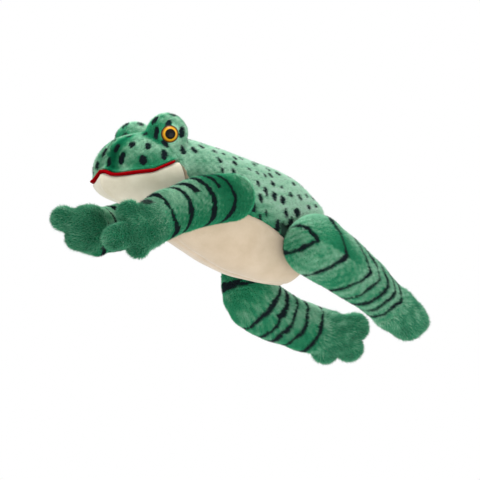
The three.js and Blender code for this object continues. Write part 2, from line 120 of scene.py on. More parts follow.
class FrogColours(bpy.types.PropertyGroup):
    """Colours of the cloths and the eyes."""

    mark: colour("Marks", (0.013, 0.023, 0.030, 1), "Spots and stripes")
    # The deep green also stands for painted shade behind the arms and round the front of the eye mounds.
    deep: colour("Deep green", (0.000, 0.215, 0.090, 1), "Airbrushed green")
    mid: colour("Mid green", (0.045, 0.390, 0.190, 1), "Green of the limbs")
    light: colour("Light green", (0.470, 0.840, 0.600, 1), "Green of the back")
    tip: colour("Tips", (0.700, 0.950, 0.800, 1), "Palest pile")
    velour: colour("Velour", (0.560, 0.452, 0.330, 1), "Cream of the belly")
    chin: colour("Chin", (0.701, 0.658, 0.527, 1), "Cream of the lower jaw")
    felt: colour("Felt", (0.340, 0.001, 0.004, 1), "Red of the mouth")
    amber: colour("Amber", (0.620, 0.300, 0.012, 1), "Ring of the eye")
    pupil: colour("Pupil", (0.003, 0.003, 0.003, 1), "Middle of the eye")
    lining: colour("Lining", (0.030, 0.110, 0.070, 1), "Cotton inside the glove")


def sizes():
    return bpy.context.scene.frog_sizes


def colours():
    return bpy.context.scene.frog_colours


# ---- Fields: each gives a length in millimetres, below nought inside a form -----------------


def smooth_curve(at, rows):
    """Rows of [place, value, ...] joined by a smooth curve, read at many places."""
    rows = np.array(rows, float)
    x, y = rows[:, 0], rows[:, 1:]
    slope = np.gradient(y, x, axis=0)
    at = np.clip(at, x[0], x[-1])
    i = np.clip(np.searchsorted(x, at) - 1, 0, len(x) - 2)
    h = (x[i + 1] - x[i])[:, None]
    t = (at - x[i])[:, None] / h
    return (
        (2 * t**3 - 3 * t**2 + 1) * y[i]
        + (t**3 - 2 * t**2 + t) * h * slope[i]
        + (3 * t**2 - 2 * t**3) * y[i + 1]
        + (t**3 - t**2) * h * slope[i + 1]
    )


def soft_min(a, b, width):
    h = np.maximum(width - np.abs(a - b), 0) / width
    return np.minimum(a, b) - h * h * width / 4


def soft_max(a, b, width):
    return -soft_min(-a, -b, width)


def ball(p, centre, radius):
    return np.linalg.norm(p - centre, axis=1) - radius


def rod(p, start, end, r0, r1):
    """A rod with round ends whose radius changes along it."""
    line = end - start
    t = np.clip((p - start) @ line / (line @ line), 0, 1)
    return np.linalg.norm(p - start - t[:, None] * line, axis=1) - (r0 + (r1 - r0) * t)


def loft(p, rows, power):
    """An oval body along Y. A row is [y, half width, top, bottom]."""
    front, back = rows[0][0], rows[-1][0]
    half, top, bottom = smooth_curve(p[:, 1], rows).T
    tall = (top - bottom) / 2
    along = np.abs((p[:, 1] - (front + back) / 2) / ((back - front) / 2))
    round_it = np.hypot(p[:, 0] / half, (p[:, 2] - (top + bottom) / 2) / tall)
    return ((round_it**power + along**power) ** (1 / power) - 1) * np.minimum(half, tall)


def limb(p, points, radii, steps=5):
    """A smooth tube through points, with a radius at each."""
    rows = np.column_stack([np.arange(len(points)), points, radii])
    path = smooth_curve(np.linspace(0, len(points) - 1, (len(points) - 1) * steps + 1), rows)
    value = np.full(len(p), 1e3)
    for a, b in zip(path, path[1:]):
        value = np.minimum(value, rod(p, a[:3], b[:3], a[3], b[3]))
    return value


def slope_of(field, p, step=0.2):
    axes = np.eye(3) * step
    return np.stack([field(p + a) - field(p - a) for a in axes], axis=1) / (2 * step)


def settle(field, p, reach):
    """Points moved onto the place where a field is nought."""
    start = p.copy()
    for _ in range(5):
        g = slope_of(field, p)
        p = p - field(p)[:, None] * g / np.maximum((g * g).sum(1), 0.05)[:, None]
        away = p - start
        far = np.linalg.norm(away, axis=1)[:, None]
        p = start + away * np.minimum(1, reach / np.maximum(far, 1e-9))
    return p


def skin(field, low, high, step):
    """The closed surface where a field is nought: a point in each cell it crosses, and quads."""
    places = [np.arange(a, b + step, step) for a, b in zip(low, high)]
    grid = np.stack(np.meshgrid(*places, indexing="ij"), -1).reshape(-1, 3)
    inside = (field(grid) < 0).reshape([len(a) for a in places])
    size = [len(a) - 1 for a in places]
    count = sum(
        inside[i : i + size[0], j : j + size[1], k : k + size[2]].astype(np.int8)
        for i, j, k in itertools.product((0, 1), repeat=3)
    )
    crossed = (count > 0) & (count < 8)
    number = np.full(crossed.shape, -1)
    number[crossed] = np.arange(crossed.sum())
    p = np.array(low) + (np.argwhere(crossed) + 0.5) * step
    quads = []
    for axis, u, w in ((0, 1, 2), (1, 2, 0), (2, 0, 1)):
        a = np.take(inside, range(inside.shape[axis] - 1), axis)
        b = np.take(inside, range(1, inside.shape[axis]), axis)
        e = np.argwhere(a != b)
        keep = (e[:, u] > 0) & (e[:, w] > 0) & (e[:, u] < size[u]) & (e[:, w] < size[w])
        e = e[keep]
        du, dw = np.eye(3, dtype=int)[[u, w]]
        ring = np.stack([number[tuple((e - d).T)] for d in (du + dw, dw, 0 * du, du)], axis=1)
        out = ~a[tuple(e.T)]
        ring[out] = ring[out][:, ::-1]
        quads.append(ring)
    quads = np.concatenate(quads)
    p = settle(field, p, step)
    for _ in range(2):
        total, n = np.zeros_like(p), np.zeros(len(p))
        for k in range(4):
            np.add.at(total, quads[:, k], p[quads[:, (k + 1) % 4]] + p[quads[:, k - 1]])
            np.add.at(n, quads[:, k], 2)
        p = settle(field, p * 0.4 + 0.6 * total / n[:, None], step)
    return p, quads


# ---- The frog's forms ------------------------------------------------------------------------

RUMP = np.array(frame["record"]["mounts"][0]["axis"], float)
SHOULDER_HALF = node_box("torso_wadding")[1][0] + 3
HIP_HALF = node_box("left_thigh_cover")[0][0]
TORSO = (
    (-185, 47, 99, 28),
    (-150, 49, 99.5, 4),
    (-119, 52, 94.5, -14),
    (-87, 51, 91, -26),
    (-48, 42, 88, -32),
    (-10, 42, 77, -33),
    (15, 41, 57.5, -33),
    (60, 36, 31, -32),
)
GLOVE = (
    (-200, 26, 84, 34),
    (-150, 29, 87, 31),
    (-100, 34, 75, 17),
    (-50, 35, 50, -8),
    (0, 34, 22, -22),
    (40, 34, 8, -36),
)
SIDE_SEAM = (
    (-240, 72),
    (-181, 70),
    (-172, 57),
    (-140, 33),
    (-104, 25),
    (-68, 18),
    (-33, 6),
    (0, -6),
    (60, -20),
)
HEAD = (
    (-239.5, 50, 101, 22),
    (-205, 50, 103, 28),
    (-180, 50, 103, 26),
    (-150, 49, 99.5, 4),
    (-60, 46, 92, 4),
)
MOUND = np.array([27.0, -180.0, 99.0])
MOUND_RADIUS = 21.0
JAW_SLANT = 0.4545
EYE_RADIUS, EYE_BULGE, PUPIL_RADIUS = 8.4, 4.3, 5.0
PILE_ROOM = 2.2
CLOTH_WALL, LINING_WALL = 0.0012, 0.0008
HEM_RADIUS = 1.5


def mirrored(p):
    """The same points on the frog's left side."""
    return np.column_stack([np.abs(p[:, 0]), p[:, 1:]])


def mouth_height(x, y):
    """Height of the mouth: it rises to its corners, and dips on each side of the snout."""
    forward = HINGE[1] - y
    dip = 8.0 * (1 - 0.85 * np.exp(-((x / 12.0) ** 2))) * np.clip(forward / 26.0, 0, 1) ** 1.2
    return HINGE[2] - np.tan(np.radians(9)) * forward - dip


def seam_height(y):
    return smooth_curve(y, SIDE_SEAM)[:, 0]


def whole_body(p):
    """Torso, head and eye mounds as one form, with a soft unevenness."""
    form = soft_min(loft(p, TORSO, 6), loft(p, HEAD, 3.1), 14)
    m = mirrored(p)
    form = soft_min(form, ball(m, MOUND, MOUND_RADIUS), 7)
    waves = np.sin(p[:, 0] * 0.13 + 1) * np.sin(p[:, 1] * 0.11) * np.sin(p[:, 2] * 0.12 + 2)
    return form + 0.5 * waves


def pile_room(p):
    """How far the furred cloth stands back, for its pile to end at the body's own surface."""
    edge = np.where(p[:, 1] < HINGE[1], mouth_height(p[:, 0], p[:, 1]), seam_height(p[:, 1]))
    return PILE_ROOM * np.clip((p[:, 2] - edge) / 7, 0, 1)


def body_form(p):
    """The whole body with its seams pulled in, and its rump closed across."""
    pull = sizes().seam / MM
    form = whole_body(p) + pile_room(p)
    below = p[:, 2] - seam_height(p[:, 1])
    form = form + pull * np.exp(-((below / 3.0) ** 2)) * (p[:, 1] > -172)
    centre = np.exp(-((p[:, 0] / 2.2) ** 2))
    ridge = np.clip((-196 - p[:, 1]) / 20, 0, 1)
    form = form + centre * (0.8 * pull * (1 - ridge) * (below < 0) - 0.9 * ridge)
    return soft_max(form, p @ RUMP, 4)


def behind_jaw(p):
    """Distance behind the seam that joins the lower jaw to the cheeks and throat."""
    return (p[:, 1] - HINGE[1] + JAW_SLANT * (p[:, 2] - HINGE[2])) / math.hypot(1, JAW_SLANT)


def jaw_room(p):
    """Below nought in the room of the lower jaw."""
    return soft_max(p[:, 2] - mouth_height(p[:, 0], p[:, 1]), behind_jaw(p), 2)


def leg_form(p, side):
    """One hind leg from the hip to the toes."""
    hip, knee, ankle = (PIVOTS[f"{side}_{j}"] for j in ("hip", "knee", "ankle"))
    if side == "left":
        sag = np.array([0, 0, -3.0])
        drop_hip = np.array([0, 0, -3.5])
        radii = (30, 25, 18.5)
        foot = np.array([40, 114, -61.5])
        toes = [(36, 122, -52), (40, 126, -61), (43, 115, -65)]
        cleft, toe_tip = 5, 10.3
    else:
        sag = np.array([0, 0, -1.0])
        drop_hip = np.array([0, 0, 0.0])
        radii = (20.5, 27, 21.5)
        foot = np.array([-52, 84, -66.0])
        toes = [(-44, 112, -58), (-52, 111, -78), (-60, 85, -82)]
        cleft, toe_tip = 2, 12.6
    form = limb(p, [hip + sag + drop_hip, knee + sag, ankle], radii)
    form = soft_min(form, rod(p, ankle, foot, radii[2], radii[2] - 1), 8)
    lobes = np.full(len(p), 1e3)
    for toe in toes:
        lobes = soft_min(lobes, rod(p, foot, np.array(toe, float), 13, toe_tip), cleft)
    return soft_min(form, lobes, 3.5)


def arm_form(p, side):
    """One arm from the shoulder to the fingers."""
    shoulder, wrist = PIVOTS[f"{side}_shoulder"], PIVOTS[f"{side}_wrist"]
    if side == "left":
        elbow = (shoulder + wrist) / 2 + np.array([3.0, 0, 4.0])
        palm = np.array([75, -246, -11.0])
        fingers = [(74, -259, 4), (76, -278, -23), (74, -248, -27)]
    else:
        elbow = np.array([-88, -163, 22.0])
        palm = np.array([-64, -210, 14.0])
        fingers = [(-75, -233, 23), (-71, -218, 4), (-72, -192, 0)]
    form = limb(p, [shoulder, elbow, wrist], [22, 23 if side == "left" else 21.5, 20.5])
    form = soft_min(form, rod(p, wrist, palm, 19.5, 20 if side == "left" else 21), 8)
    lobes = np.full(len(p), 1e3)
    for finger in fingers:
        lobes = soft_min(lobes, rod(p, palm, np.array(finger, float), 12, 10), 2)
    return soft_min(form, lobes, 3)


def limb_room(p, place, half, side):
    """Below nought where a limb may be: beside the body, or clear of the body's skin."""
    out = p[:, 0] * (1 if side == "left" else -1)
    reach = np.hypot(p[:, 1] - place[1], p[:, 2] - place[2])
    clear = soft_max(44 - reach, 1.0 - body_form(p), 4)
    return soft_min(half + 0.6 - out, clear, 5)


# ---- Meshes ----------------------------------------------------------------------------------


def put(name, points, faces, material):
    """A smooth mesh object, from points in millimetres."""
    mesh = bpy.data.meshes.new(name)
    mesh.from_pydata((np.asarray(points) * MM).tolist(), [], [tuple(map(int, f)) for f in faces])
    mesh.validate()
    mesh.polygons.foreach_set("use_smooth", np.ones(len(mesh.polygons), dtype=bool))
    obj = bpy.data.objects.new(name, mesh)
    bpy.context.scene.collection.objects.link(obj)
    if material:
        mesh.materials.append(material)
    return obj


def points_of(obj):
    co = np.zeros(len(obj.data.vertices) * 3)
    obj.data.vertices.foreach_get("co", co)
    return co.reshape(-1, 3) / MM


def cut(obj, height, keep_above=True, name=None):
    """A copy of a mesh, cut where height(points) is nought, keeping one side."""
    p = points_of(obj)
    h = height(p)
    mesh = obj.data.copy()
    copy = bpy.data.objects.new(name or obj.name, mesh)
    bpy.context.scene.collection.objects.link(copy)
    work = bmesh.new()
    work.from_mesh(mesh)
    work.verts.ensure_lookup_table()
    layer = work.verts.layers.float.new("height")
    for vert, value in zip(work.verts, h):
        vert[layer] = value
    sign = 1.0 if keep_above else -1.0
    crossing = [e for e in work.edges if e.verts[0][layer] * e.verts[1][layer] < 0]
    for edge in crossing:
        a, b = edge.verts
        t = a[layer] / (a[layer] - b[layer])
        _, new = bmesh.utils.edge_split(edge, a, t)
        new[layer] = 0.0
    for face in list(work.faces):
        zero = [v for v in face.verts if v[layer] == 0.0]
        if len(zero) == 2 and len(face.verts) > 3:
            try:
                bmesh.utils.face_split(face, zero[0], zero[1])
            except ValueError:
                pass
    gone = [f for f in work.faces if sum(v[layer] for v in f.verts) * sign < 0]
    bmesh.ops.delete(work, geom=gone, context="FACES")
    work.to_mesh(mesh)
    work.free()
    return copy


def attribute(obj, name, values, kind="FLOAT"):
    layer = obj.data.attributes.get(name) or obj.data.attributes.new(name, kind, "POINT")
    key = "value" if kind == "FLOAT" else "vector"
    layer.data.foreach_set(key, np.ascontiguousarray(values, dtype=np.float32).ravel())


def drop(obj):
    mesh = obj.data
    bpy.data.objects.remove(obj)
    bpy.data.meshes.remove(mesh)


def finished(obj, thickness=0.0, levels=0):
    """Gives a cloth its thickness and its last smoothing, and applies them."""
    if levels:
        smooth = obj.modifiers.new("Smooth", "SUBSURF")
        smooth.levels = smooth.render_levels = levels
    if thickness:
        wall = obj.modifiers.new("Wall", "SOLIDIFY")
        wall.thickness = thickness
        wall.offset = -1.0
    evaluated = obj.evaluated_get(bpy.context.evaluated_depsgraph_get())
    mesh = bpy.data.meshes.new_from_object(evaluated)
    old = obj.data
    obj.modifiers.clear()
    obj.data = mesh
    bpy.data.meshes.remove(old)
    return obj


# ---- Stuffing: a slight push from inside, found by cloth simulation --------------------------
#
# It comes to a few hundredths of a millimetre over most of a skin and at most about 0.4 mm, so it
# can't be seen. The forms above are what gives every padded piece its shape.

PUFF = 3.0
MOST_PUSH = 1.3
COARSE_STEP = 5.2
PRESSURE = 4.0
LAST_FRAME = 20


def stuffing_push(form, low, high, held):
    """A function moving points of a skin a little, as a coarse skin moves under pressure.

    held(points) is 1 where the cloth can't move and 0 where it is free. A seam is a place in between.
    """
    points, faces = skin(form, low, high, COARSE_STEP)
    cloth = put("coarse", points, faces, None)
    normal = outward(cloth)
    grip = np.clip(held(points), 0, 1)
    pins = cloth.vertex_groups.new(name="pins")
    for index in np.nonzero(grip > 0.05)[0]:
        pins.add([int(index)], float(grip[index]), "REPLACE")
    filling = cloth.modifiers.new("Filling", "CLOTH")
    filling.settings.quality = 4
    filling.settings.vertex_group_mass = "pins"
    filling.settings.use_pressure = True
    filling.settings.uniform_pressure_force = PRESSURE
    filling.settings.effector_weights.gravity = 0.0
    filling.collision_settings.use_collision = False
    scene = bpy.context.scene
    for frame_number in range(1, LAST_FRAME + 1):
        scene.frame_set(frame_number)
    mesh = cloth.evaluated_get(bpy.context.evaluated_depsgraph_get()).to_mesh()
    moved = np.zeros(len(mesh.vertices) * 3)
    mesh.vertices.foreach_get("co", moved)
    scene.frame_set(1)
    out = ((moved.reshape(-1, 3) / MM - points) * normal).sum(1)
    out = np.where(np.isfinite(out), np.clip(out, 0, PUFF), 0)
    level = np.median(out[grip < 0.3]) if (grip < 0.3).any() else 0.0
    amount = np.clip(out - level, -MOST_PUSH, MOST_PUSH) * (grip < 0.9)
    drop(cloth)
    tree = nearest_in(points)

    def push(p):
        n = slope_of(form, p)
        n = n / np.maximum(np.linalg.norm(n, axis=1), 1e-6)[:, None]
        share = np.zeros(len(p))
        for k, q in enumerate(p):
            near = tree.find_n(q, 5)
            weight = [1 / (1 + d * d) for _, _, d in near]
            share[k] = sum(w * amount[i] for w, (_, i, _) in zip(weight, near)) / sum(weight)
        return p + n * share[:, None]

    return push


def nearest_in(points):
    tree = KDTree(len(points))
    for k, q in enumerate(points):
        tree.insert(q, k)
    tree.balance()
    return tree


# ---- Markings, painted light and painted shade: a tone of 0 is a mark, then deep, mid, light and palest green at 1 ---

MARK_TONE = 0.02


def wobble(p, scale, seed):
    """Smooth noise from -1 to 1, the same each run."""
    turn = np.random.default_rng(seed).normal(size=(6, 3)) / scale
    phase = np.random.default_rng(seed + 1).uniform(0, 6.28, 6)
    return np.sin(p @ turn.T + phase).sum(1) / 3.4


def scatter(p, gap, seed):
    """Points picked from p, none nearer another than gap."""
    order = np.random.default_rng(seed).permutation(len(p))
    picked = []
    for q in p[order][:6000]:
        if not picked or ((np.array(picked) - q) ** 2).sum(1).min() > gap * gap:
            picked.append(q)
    return np.array(picked)


def mix(tone, other, share):
    share = np.clip(share, 0, 1)
    return tone + (other - tone) * share


def body_tone(p, spots):
    """The back: pale mint with dark spots, larger and longer down the sides, and painted shade behind the arms."""
    rng = np.random.default_rng(sizes().seed)
    above = p[:, 2] - seam_height(p[:, 1])
    tone = 0.80 + 0.06 * wobble(p, 16, 3) + 0.09 * wobble(p, 2.3, 4)
    # Darker down towards the side seam.
    tone = mix(tone, 0.45, (1 - above / 26) * 0.8)
    # Painted shade on the back where it meets the arm.
    shade_behind_arm = np.exp(-(((p[:, 1] + 100) / 13) ** 2)) * np.clip(1 - above / 60, 0, 1)
    tone = mix(tone, 0.30, 0.45 * shade_behind_arm)
    d = p[:, None, :] - spots[None]
    low = np.clip((50 - (spots[:, 2] - seam_height(spots[:, 1]))) / 50, 0, 1)
    own = np.random.default_rng(sizes().seed + 2).uniform(0.7, 1.25, len(spots))
    tall = (3.2 + 3.2 * low) * own
    wide = (2.7 + 0.9 * low) * own
    form = np.sqrt((d[:, :, 1] / wide) ** 2 + ((d[:, :, 2] ** 2 + d[:, :, 0] ** 2) / tall**2))
    edge = form.min(1) + 0.32 * wobble(p, 2.2, 9)
    tone = np.where(edge < 1, MARK_TONE, tone)
    return np.clip(tone + rng.normal(0, 0.03, len(p)), 0, 1)


def head_tone(p, spots):
    """The head: mint over the top, darker low on the snout and cheeks, with small dark ovals, and painted shade in
    the crease in front of each eye mound.
    """
    rng = np.random.default_rng(sizes().seed + 1)
    tone = 0.70 + 0.08 * wobble(p, 14, 5) + 0.09 * wobble(p, 2.3, 6)
    beside = np.exp(-(((np.abs(p[:, 0]) - 11) / 7) ** 2)) * np.clip((-200 - p[:, 1]) / 22, 0, 1)
    tone = mix(tone, 0.25, 1.1 * beside * np.where(p[:, 0] > 0, 1, 0.3))
    m = mirrored(p)
    # Painted shade in the crease round the front of each eye mound.
    ring = np.exp(-(((np.linalg.norm(m - MOUND, axis=1) - MOUND_RADIUS - 1) / 5) ** 2))
    front = np.clip((-186 - p[:, 1]) / 12, 0, 1) * np.clip((118 - p[:, 2]) / 14, 0, 1)
    tone = mix(tone, 0.24, 0.85 * ring * front)
    cheek = np.clip((82 - p[:, 2]) / 22, 0, 1) * np.clip((np.abs(p[:, 0]) - 20) / 20, 0, 1)
    cheek = cheek * np.clip((-176 - p[:, 1]) / 12, 0, 1) * np.clip((p[:, 1] + 234) / 8, 0, 1)
    tone = mix(tone, 0.33, 0.8 * cheek)
    d = p[:, None, :] - spots[None]
    form = np.sqrt((d[:, :, 1] / 3.5) ** 2 + (d[:, :, 0] / 3.5) ** 2 + (d[:, :, 2] / 5.8) ** 2)
    edge = form.min(1) + 0.3 * wobble(p, 2.0, 11)
    tone = np.where(edge < 1, MARK_TONE, tone)
    return np.clip(tone + rng.normal(0, 0.03, len(p)), 0, 1)


def along_limb(p, points):
    """How far along a bent line each point is, and its height over the line."""
    best = np.full(len(p), 1e9)
    along, up = np.zeros(len(p)), np.zeros(len(p))
    gone = 0.0
    for i, (a, b) in enumerate(zip(points, points[1:])):
        line = b - a
        size = np.linalg.norm(line)
        line = line / size
        t = (p - a) @ line
        t = np.clip(t, None if i == 0 else 0, None if i == len(points) - 2 else size)
        off = p - a - t[:, None] * line
        d = (off**2).sum(1)
        lift = np.array([0, 0, 1.0]) - line * line[2]
        lift = lift / np.linalg.norm(lift)
        near = d < best
        best = np.where(near, d, best)
        along = np.where(near, gone + t, along)
        up = np.where(near, off @ lift, up)
        gone += size
    return along, up


def limb_tone(p, points, bands, look):
    """A limb: mid green with jagged dark bands, a top made paler by painted light, and a deeper foot."""
    seed = look["seed"]
    rng = np.random.default_rng(seed)
    along, up = along_limb(p, points)
    # Painted light: the limb's upper side is paler, its underside darker.
    lift = np.clip(up / 20, -1, 1)
    tone = look["base"] + look["lift"] * lift
    tone = tone + 0.07 * wobble(p, 12, seed) + 0.07 * wobble(p, 1.6, seed + 3)
    deep = np.clip(1 - np.abs(along - look["deep"]) / look["deep_reach"], 0, 1)
    seam = look["seam"][0] + look["seam"][1] * along
    over_seam = (up - seam) / 3 + 0.5 if look["seam"][0] else 0.75 + 0.6 * lift
    over_seam = np.clip(over_seam, 0, 1)
    deep = deep * over_seam * np.clip(0.8 + 0.7 * wobble(p, 16, seed + 4), 0, 1)
    tone = mix(tone, 0.28, 0.9 * deep)
    at_paw = np.clip((along - look["paw"]) / 12, 0, 1)
    tone = mix(tone, 0.33, at_paw * (0.78 + 0.5 * wobble(p, 4, seed + 6)))
    for k, (at, over, under, least) in enumerate(bands):
        off_seam = up - seam
        lean = np.where(off_seam > 0, over * np.minimum(off_seam, 26), -under * off_seam)
        jag = 1.6 * wobble(p, 7, seed + k) + 0.9 * wobble(p, 2.4, seed + 40 + k)
        off = np.abs(along - at - lean - jag)
        thick = look["width"] * (1 + 0.4 * wobble(p, 8, seed + 20 + k))
        tone = np.where((off < thick) & (up > least), MARK_TONE, tone)
    jitter = np.where(along > look["paw"], 0.09, 0.04)
    return np.clip(tone + rng.normal(0, 1, len(p)) * jitter, 0, 1)


# ---- Materials -------------------------------------------------------------------------------


WHITE = (1, 1, 1, 1)


class Shade:
    """A material or node group being built."""

    def __init__(self, tree):
        self.tree = tree

    def node(self, kind, inputs=(), **settings):
        """A node with its settings and inputs. An input is a value, or another node's output."""
        made = self.tree.nodes.new(kind)
        for key, value in settings.items():
            if key in made.bl_rna.properties:
                setattr(made, key, value)
        for key, value in dict(inputs).items():
            if hasattr(value, "is_output"):
                self.link(value, made.inputs[key])
            else:
                made.inputs[key].default_value = value
        return made

    def link(self, a, b):
        self.tree.links.new(a, b)

    def math(self, operation, a, b=0.0):
        return self.node("ShaderNodeMath", {0: a, 1: b}, operation=operation).outputs[0]

    def noise(self, vector, scale, detail=2.0):
        given = {"Scale": scale, "Detail": detail, "Vector": vector}
        return self.node("ShaderNodeTexNoise", given).outputs["Fac"]

    def ramp(self, factor, stops):
        n = self.node("ShaderNodeValToRGB", {"Fac": factor})
        points = n.color_ramp.elements
        while len(points) < len(stops):
            points.new(0.5)
        for point, (place, value) in zip(points, stops):
            point.position = place
            point.color = tuple(value)
        return n.outputs["Color"]

    def blend(self, factor, a, b, kind="MIX"):
        given = {0: factor, 6: a, 7: b}
        return self.node("ShaderNodeMix", given, data_type="RGBA", blend_type=kind).outputs[2]

    def shaded(self, base, mask, dark, share=1.0, low=0.3, high=0.7):
        """A colour that is darker where a mask is low."""
        return self.blend(share, base, self.ramp(mask, [(low, dark), (high, WHITE)]), "MULTIPLY")

    def place(self):
        return self.node("ShaderNodeTexCoord").outputs["Object"]

    def use(self, tree, **inputs):
        return self.node("ShaderNodeGroup", inputs, node_tree=tree).outputs

    def patches(self, scale):
        return self.use(soft_patches(), Place=self.place(), Scale=scale)

    def bump(self, height, strength, distance):
        given = {"Strength": strength, "Distance": distance, "Height": height}
        return self.node("ShaderNodeBump", given).outputs["Normal"]

    def tone_of(self, name):
        return self.node("ShaderNodeAttribute", attribute_name=name).outputs["Fac"]


def group(name, inputs, outputs, build):
    """A shader node group, made once."""
    if name in bpy.data.node_groups:
        return bpy.data.node_groups[name]
    tree = bpy.data.node_groups.new(name, "ShaderNodeTree")
    kinds = {"value": "NodeSocketFloat", "colour": "NodeSocketColor", "vector": "NodeSocketVector"}
    for key, (kind, default) in inputs.items():
        socket = tree.interface.new_socket(key, in_out="INPUT", socket_type=kinds[kind])
        if default is not None:
            socket.default_value = default
    for key, kind in outputs.items():
        tree.interface.new_socket(key, in_out="OUTPUT", socket_type=kinds[kind])
    s = Shade(tree)
    start, end = s.node("NodeGroupInput"), s.node("NodeGroupOutput")
    for key, socket in build(s, start.outputs).items():
        s.link(socket, end.inputs[key])
    return tree


def soft_patches():
    """Uneven dye and handling: a broad mask and a fine one."""

    def build(s, given):
        inputs = {0: given["Place"], "Scale": given["Scale"]}
        place = s.node("ShaderNodeVectorMath", inputs, operation="SCALE").outputs[0]
        return {"Broad": s.noise(place, 1.0, 3.0), "Fine": s.noise(place, 14.0, 3.0)}

    inputs = {"Place": ("vector", None), "Scale": ("value", 40.0)}
    return group("Soft patches", inputs, {"Broad": "value", "Fine": "value"}, build)


def pile_colour():
    """Colour of one tuft, from its tone and how far up it one is; darker towards the root as painted shade deep in
    the pile.
    """

    def build(s, given):
        c = colours()
        tones = ((0.0, c.mark), (0.09, c.mark), (0.25, c.deep), (0.5, c.mid), (0.75, c.light), (1.0, c.tip))
        base = s.ramp(given["Tone"], tones)
        # Painted shade: a tuft darkens towards its root, as the shadow deep in the pile would.
        root_shade = ((0.0, (0.42, 0.42, 0.42, 1)), (0.55, (0.9, 0.9, 0.9, 1)), (1.0, WHITE))
        return {"Colour": s.blend(1.0, base, s.ramp(given["Up"], root_shade), "MULTIPLY")}

    inputs = {"Tone": ("value", 0.5), "Up": ("value", 1.0)}
    return group("Pile colour", inputs, {"Colour": "colour"}, build)


def material(name, build, roughness, **fixed):
    """A material around one Principled shader. Fixed values sit on the shader's own sockets."""
    if name in bpy.data.materials:
        return bpy.data.materials[name]
    made = bpy.data.materials.new(name)
    made.use_nodes = True
    s = Shade(made.node_tree)
    shader = next(n for n in made.node_tree.nodes if n.type == "BSDF_PRINCIPLED")
    shader.inputs["Roughness"].default_value = roughness
    for key, value in fixed.items():
        shader.inputs[key.replace("_", " ")].default_value = value
    for key, socket in build(s).items():
        s.link(socket, shader.inputs[key])
    return made


def pile_material(paw=False):
    def build(s):
        uv = s.node("ShaderNodeUVMap", uv_map="OFBake").outputs[0]
        split = s.node("ShaderNodeSeparateXYZ", {0: uv})
        colour_of = s.use(pile_colour(), Tone=split.outputs[0], Up=split.outputs[1])["Colour"]
        if paw:
            pale = s.ramp(split.outputs[1], [(0.5, (0, 0, 0, 1)), (1.0, (0.22, 0.22, 0.22, 1))])
            colour_of = s.blend(pale, colour_of, colours().tip)
        return {"Base Color": colour_of}

    name = "paw_pile" if paw else "plush_pile"
    return material(name, build, 0.85, Specular_IOR_Level=0.12)


def plush_backing():
    def build(s):
        tone = s.tone_of("tone")
        fine = s.patches(90.0)["Fine"]
        # Painted shade: the backing under the pile takes the pile's darker root colour.
        up = s.math("MULTIPLY_ADD", fine, 0.35)
        colour_of = s.use(pile_colour(), Tone=tone, Up=up)["Colour"]
        return {"Base Color": colour_of, "Normal": s.bump(fine, 0.6, 0.0006)}

    return material("plush_backing", build, 0.95, Specular_IOR_Level=0.1)


def velour(name, base):
    def build(s):
        patches = s.patches(55.0)
        colour_of = s.shaded(base, patches["Broad"], (0.86, 0.84, 0.80, 1))
        nap = s.noise(s.place(), 2600.0, 4.0)
        colour_of = s.shaded(colour_of, nap, (0.82, 0.81, 0.79, 1), 0.7, 0.35, 0.62)
        height = s.math("MULTIPLY_ADD", patches["Fine"], 0.6)
        height = s.math("ADD", height, s.math("MULTIPLY", nap, 0.5))
        return {"Base Color": colour_of, "Normal": s.bump(height, 0.55, 0.0006)}

    return material(name, build, 0.88, Sheen_Weight=0.45, Sheen_Roughness=0.45)


def felt():
    def build(s):
        fibres = s.noise(s.place(), 3200.0, 5.0)
        colour_of = s.shaded(colours().felt, fibres, (0.62, 0.62, 0.62, 1))
        height = s.math("ADD", fibres, s.patches(70.0)["Fine"])
        return {"Base Color": colour_of, "Normal": s.bump(height, 0.5, 0.0005)}

    return material("mouth_felt", build, 0.95, Specular_IOR_Level=0.0)


def cotton():
    def build(s):
        split = s.node("ShaderNodeSeparateXYZ", {0: s.place()})
        warp, weft = (
            s.math("SINE", s.math("MULTIPLY", split.outputs[axis], 7800.0)) for axis in (0, 2)
        )
        weave = s.math("MULTIPLY", warp, weft)
        dark = (0.7, 0.7, 0.7, 1)
        colour_of = s.shaded(colours().lining, s.patches(45.0)["Broad"], dark)
        colour_of = s.shaded(colour_of, weave, dark, 0.8, 0.0, 1.0)
        return {"Base Color": colour_of, "Normal": s.bump(weave, 0.35, 0.0003)}

    return material("lining_cotton", build, 0.85, Sheen_Weight=0.15)


def thread():
    def build(s):
        twist = s.noise(s.place(), 4200.0, 3.0)
        colour_of = s.ramp(twist, [(0.3, (0.02, 0.12, 0.06, 1)), (0.7, (0.06, 0.28, 0.15, 1))])
        return {"Base Color": colour_of, "Normal": s.bump(twist, 0.5, 0.0002)}

    return material("sewing_thread", build, 0.6, Sheen_Weight=0.2)


def moulded(name, stops, roughness, **fixed):
    """Moulded plastic coloured by how far from its axis a point is, with fine flow marks."""

    def build(s):
        patches = s.patches(260.0)
        unevenness = s.math("MULTIPLY", s.math("SUBTRACT", patches["Fine"], 0.5), 0.12)
        near = s.math("ADD", s.tone_of("out"), unevenness)
        given = {"Value": patches["Broad"], "To Min": roughness * 0.7, "To Max": roughness * 1.3}
        rough = s.node("ShaderNodeMapRange", given).outputs[0]
        return {"Base Color": s.ramp(near, stops), "Roughness": rough}

    return material(name, build, roughness, Coat_Roughness=0.05, **fixed)


def plain_plastic(name, base, roughness):
    def build(s):
        fine = s.patches(220.0)["Fine"]
        colour_of = s.shaded(base, fine, (0.8, 0.8, 0.8, 1))
        return {"Base Color": colour_of, "Normal": s.bump(fine, 0.2, 0.0002)}

    return material(name, build, roughness)


# ---- Pile, by geometry nodes -----------------------------------------------------------------


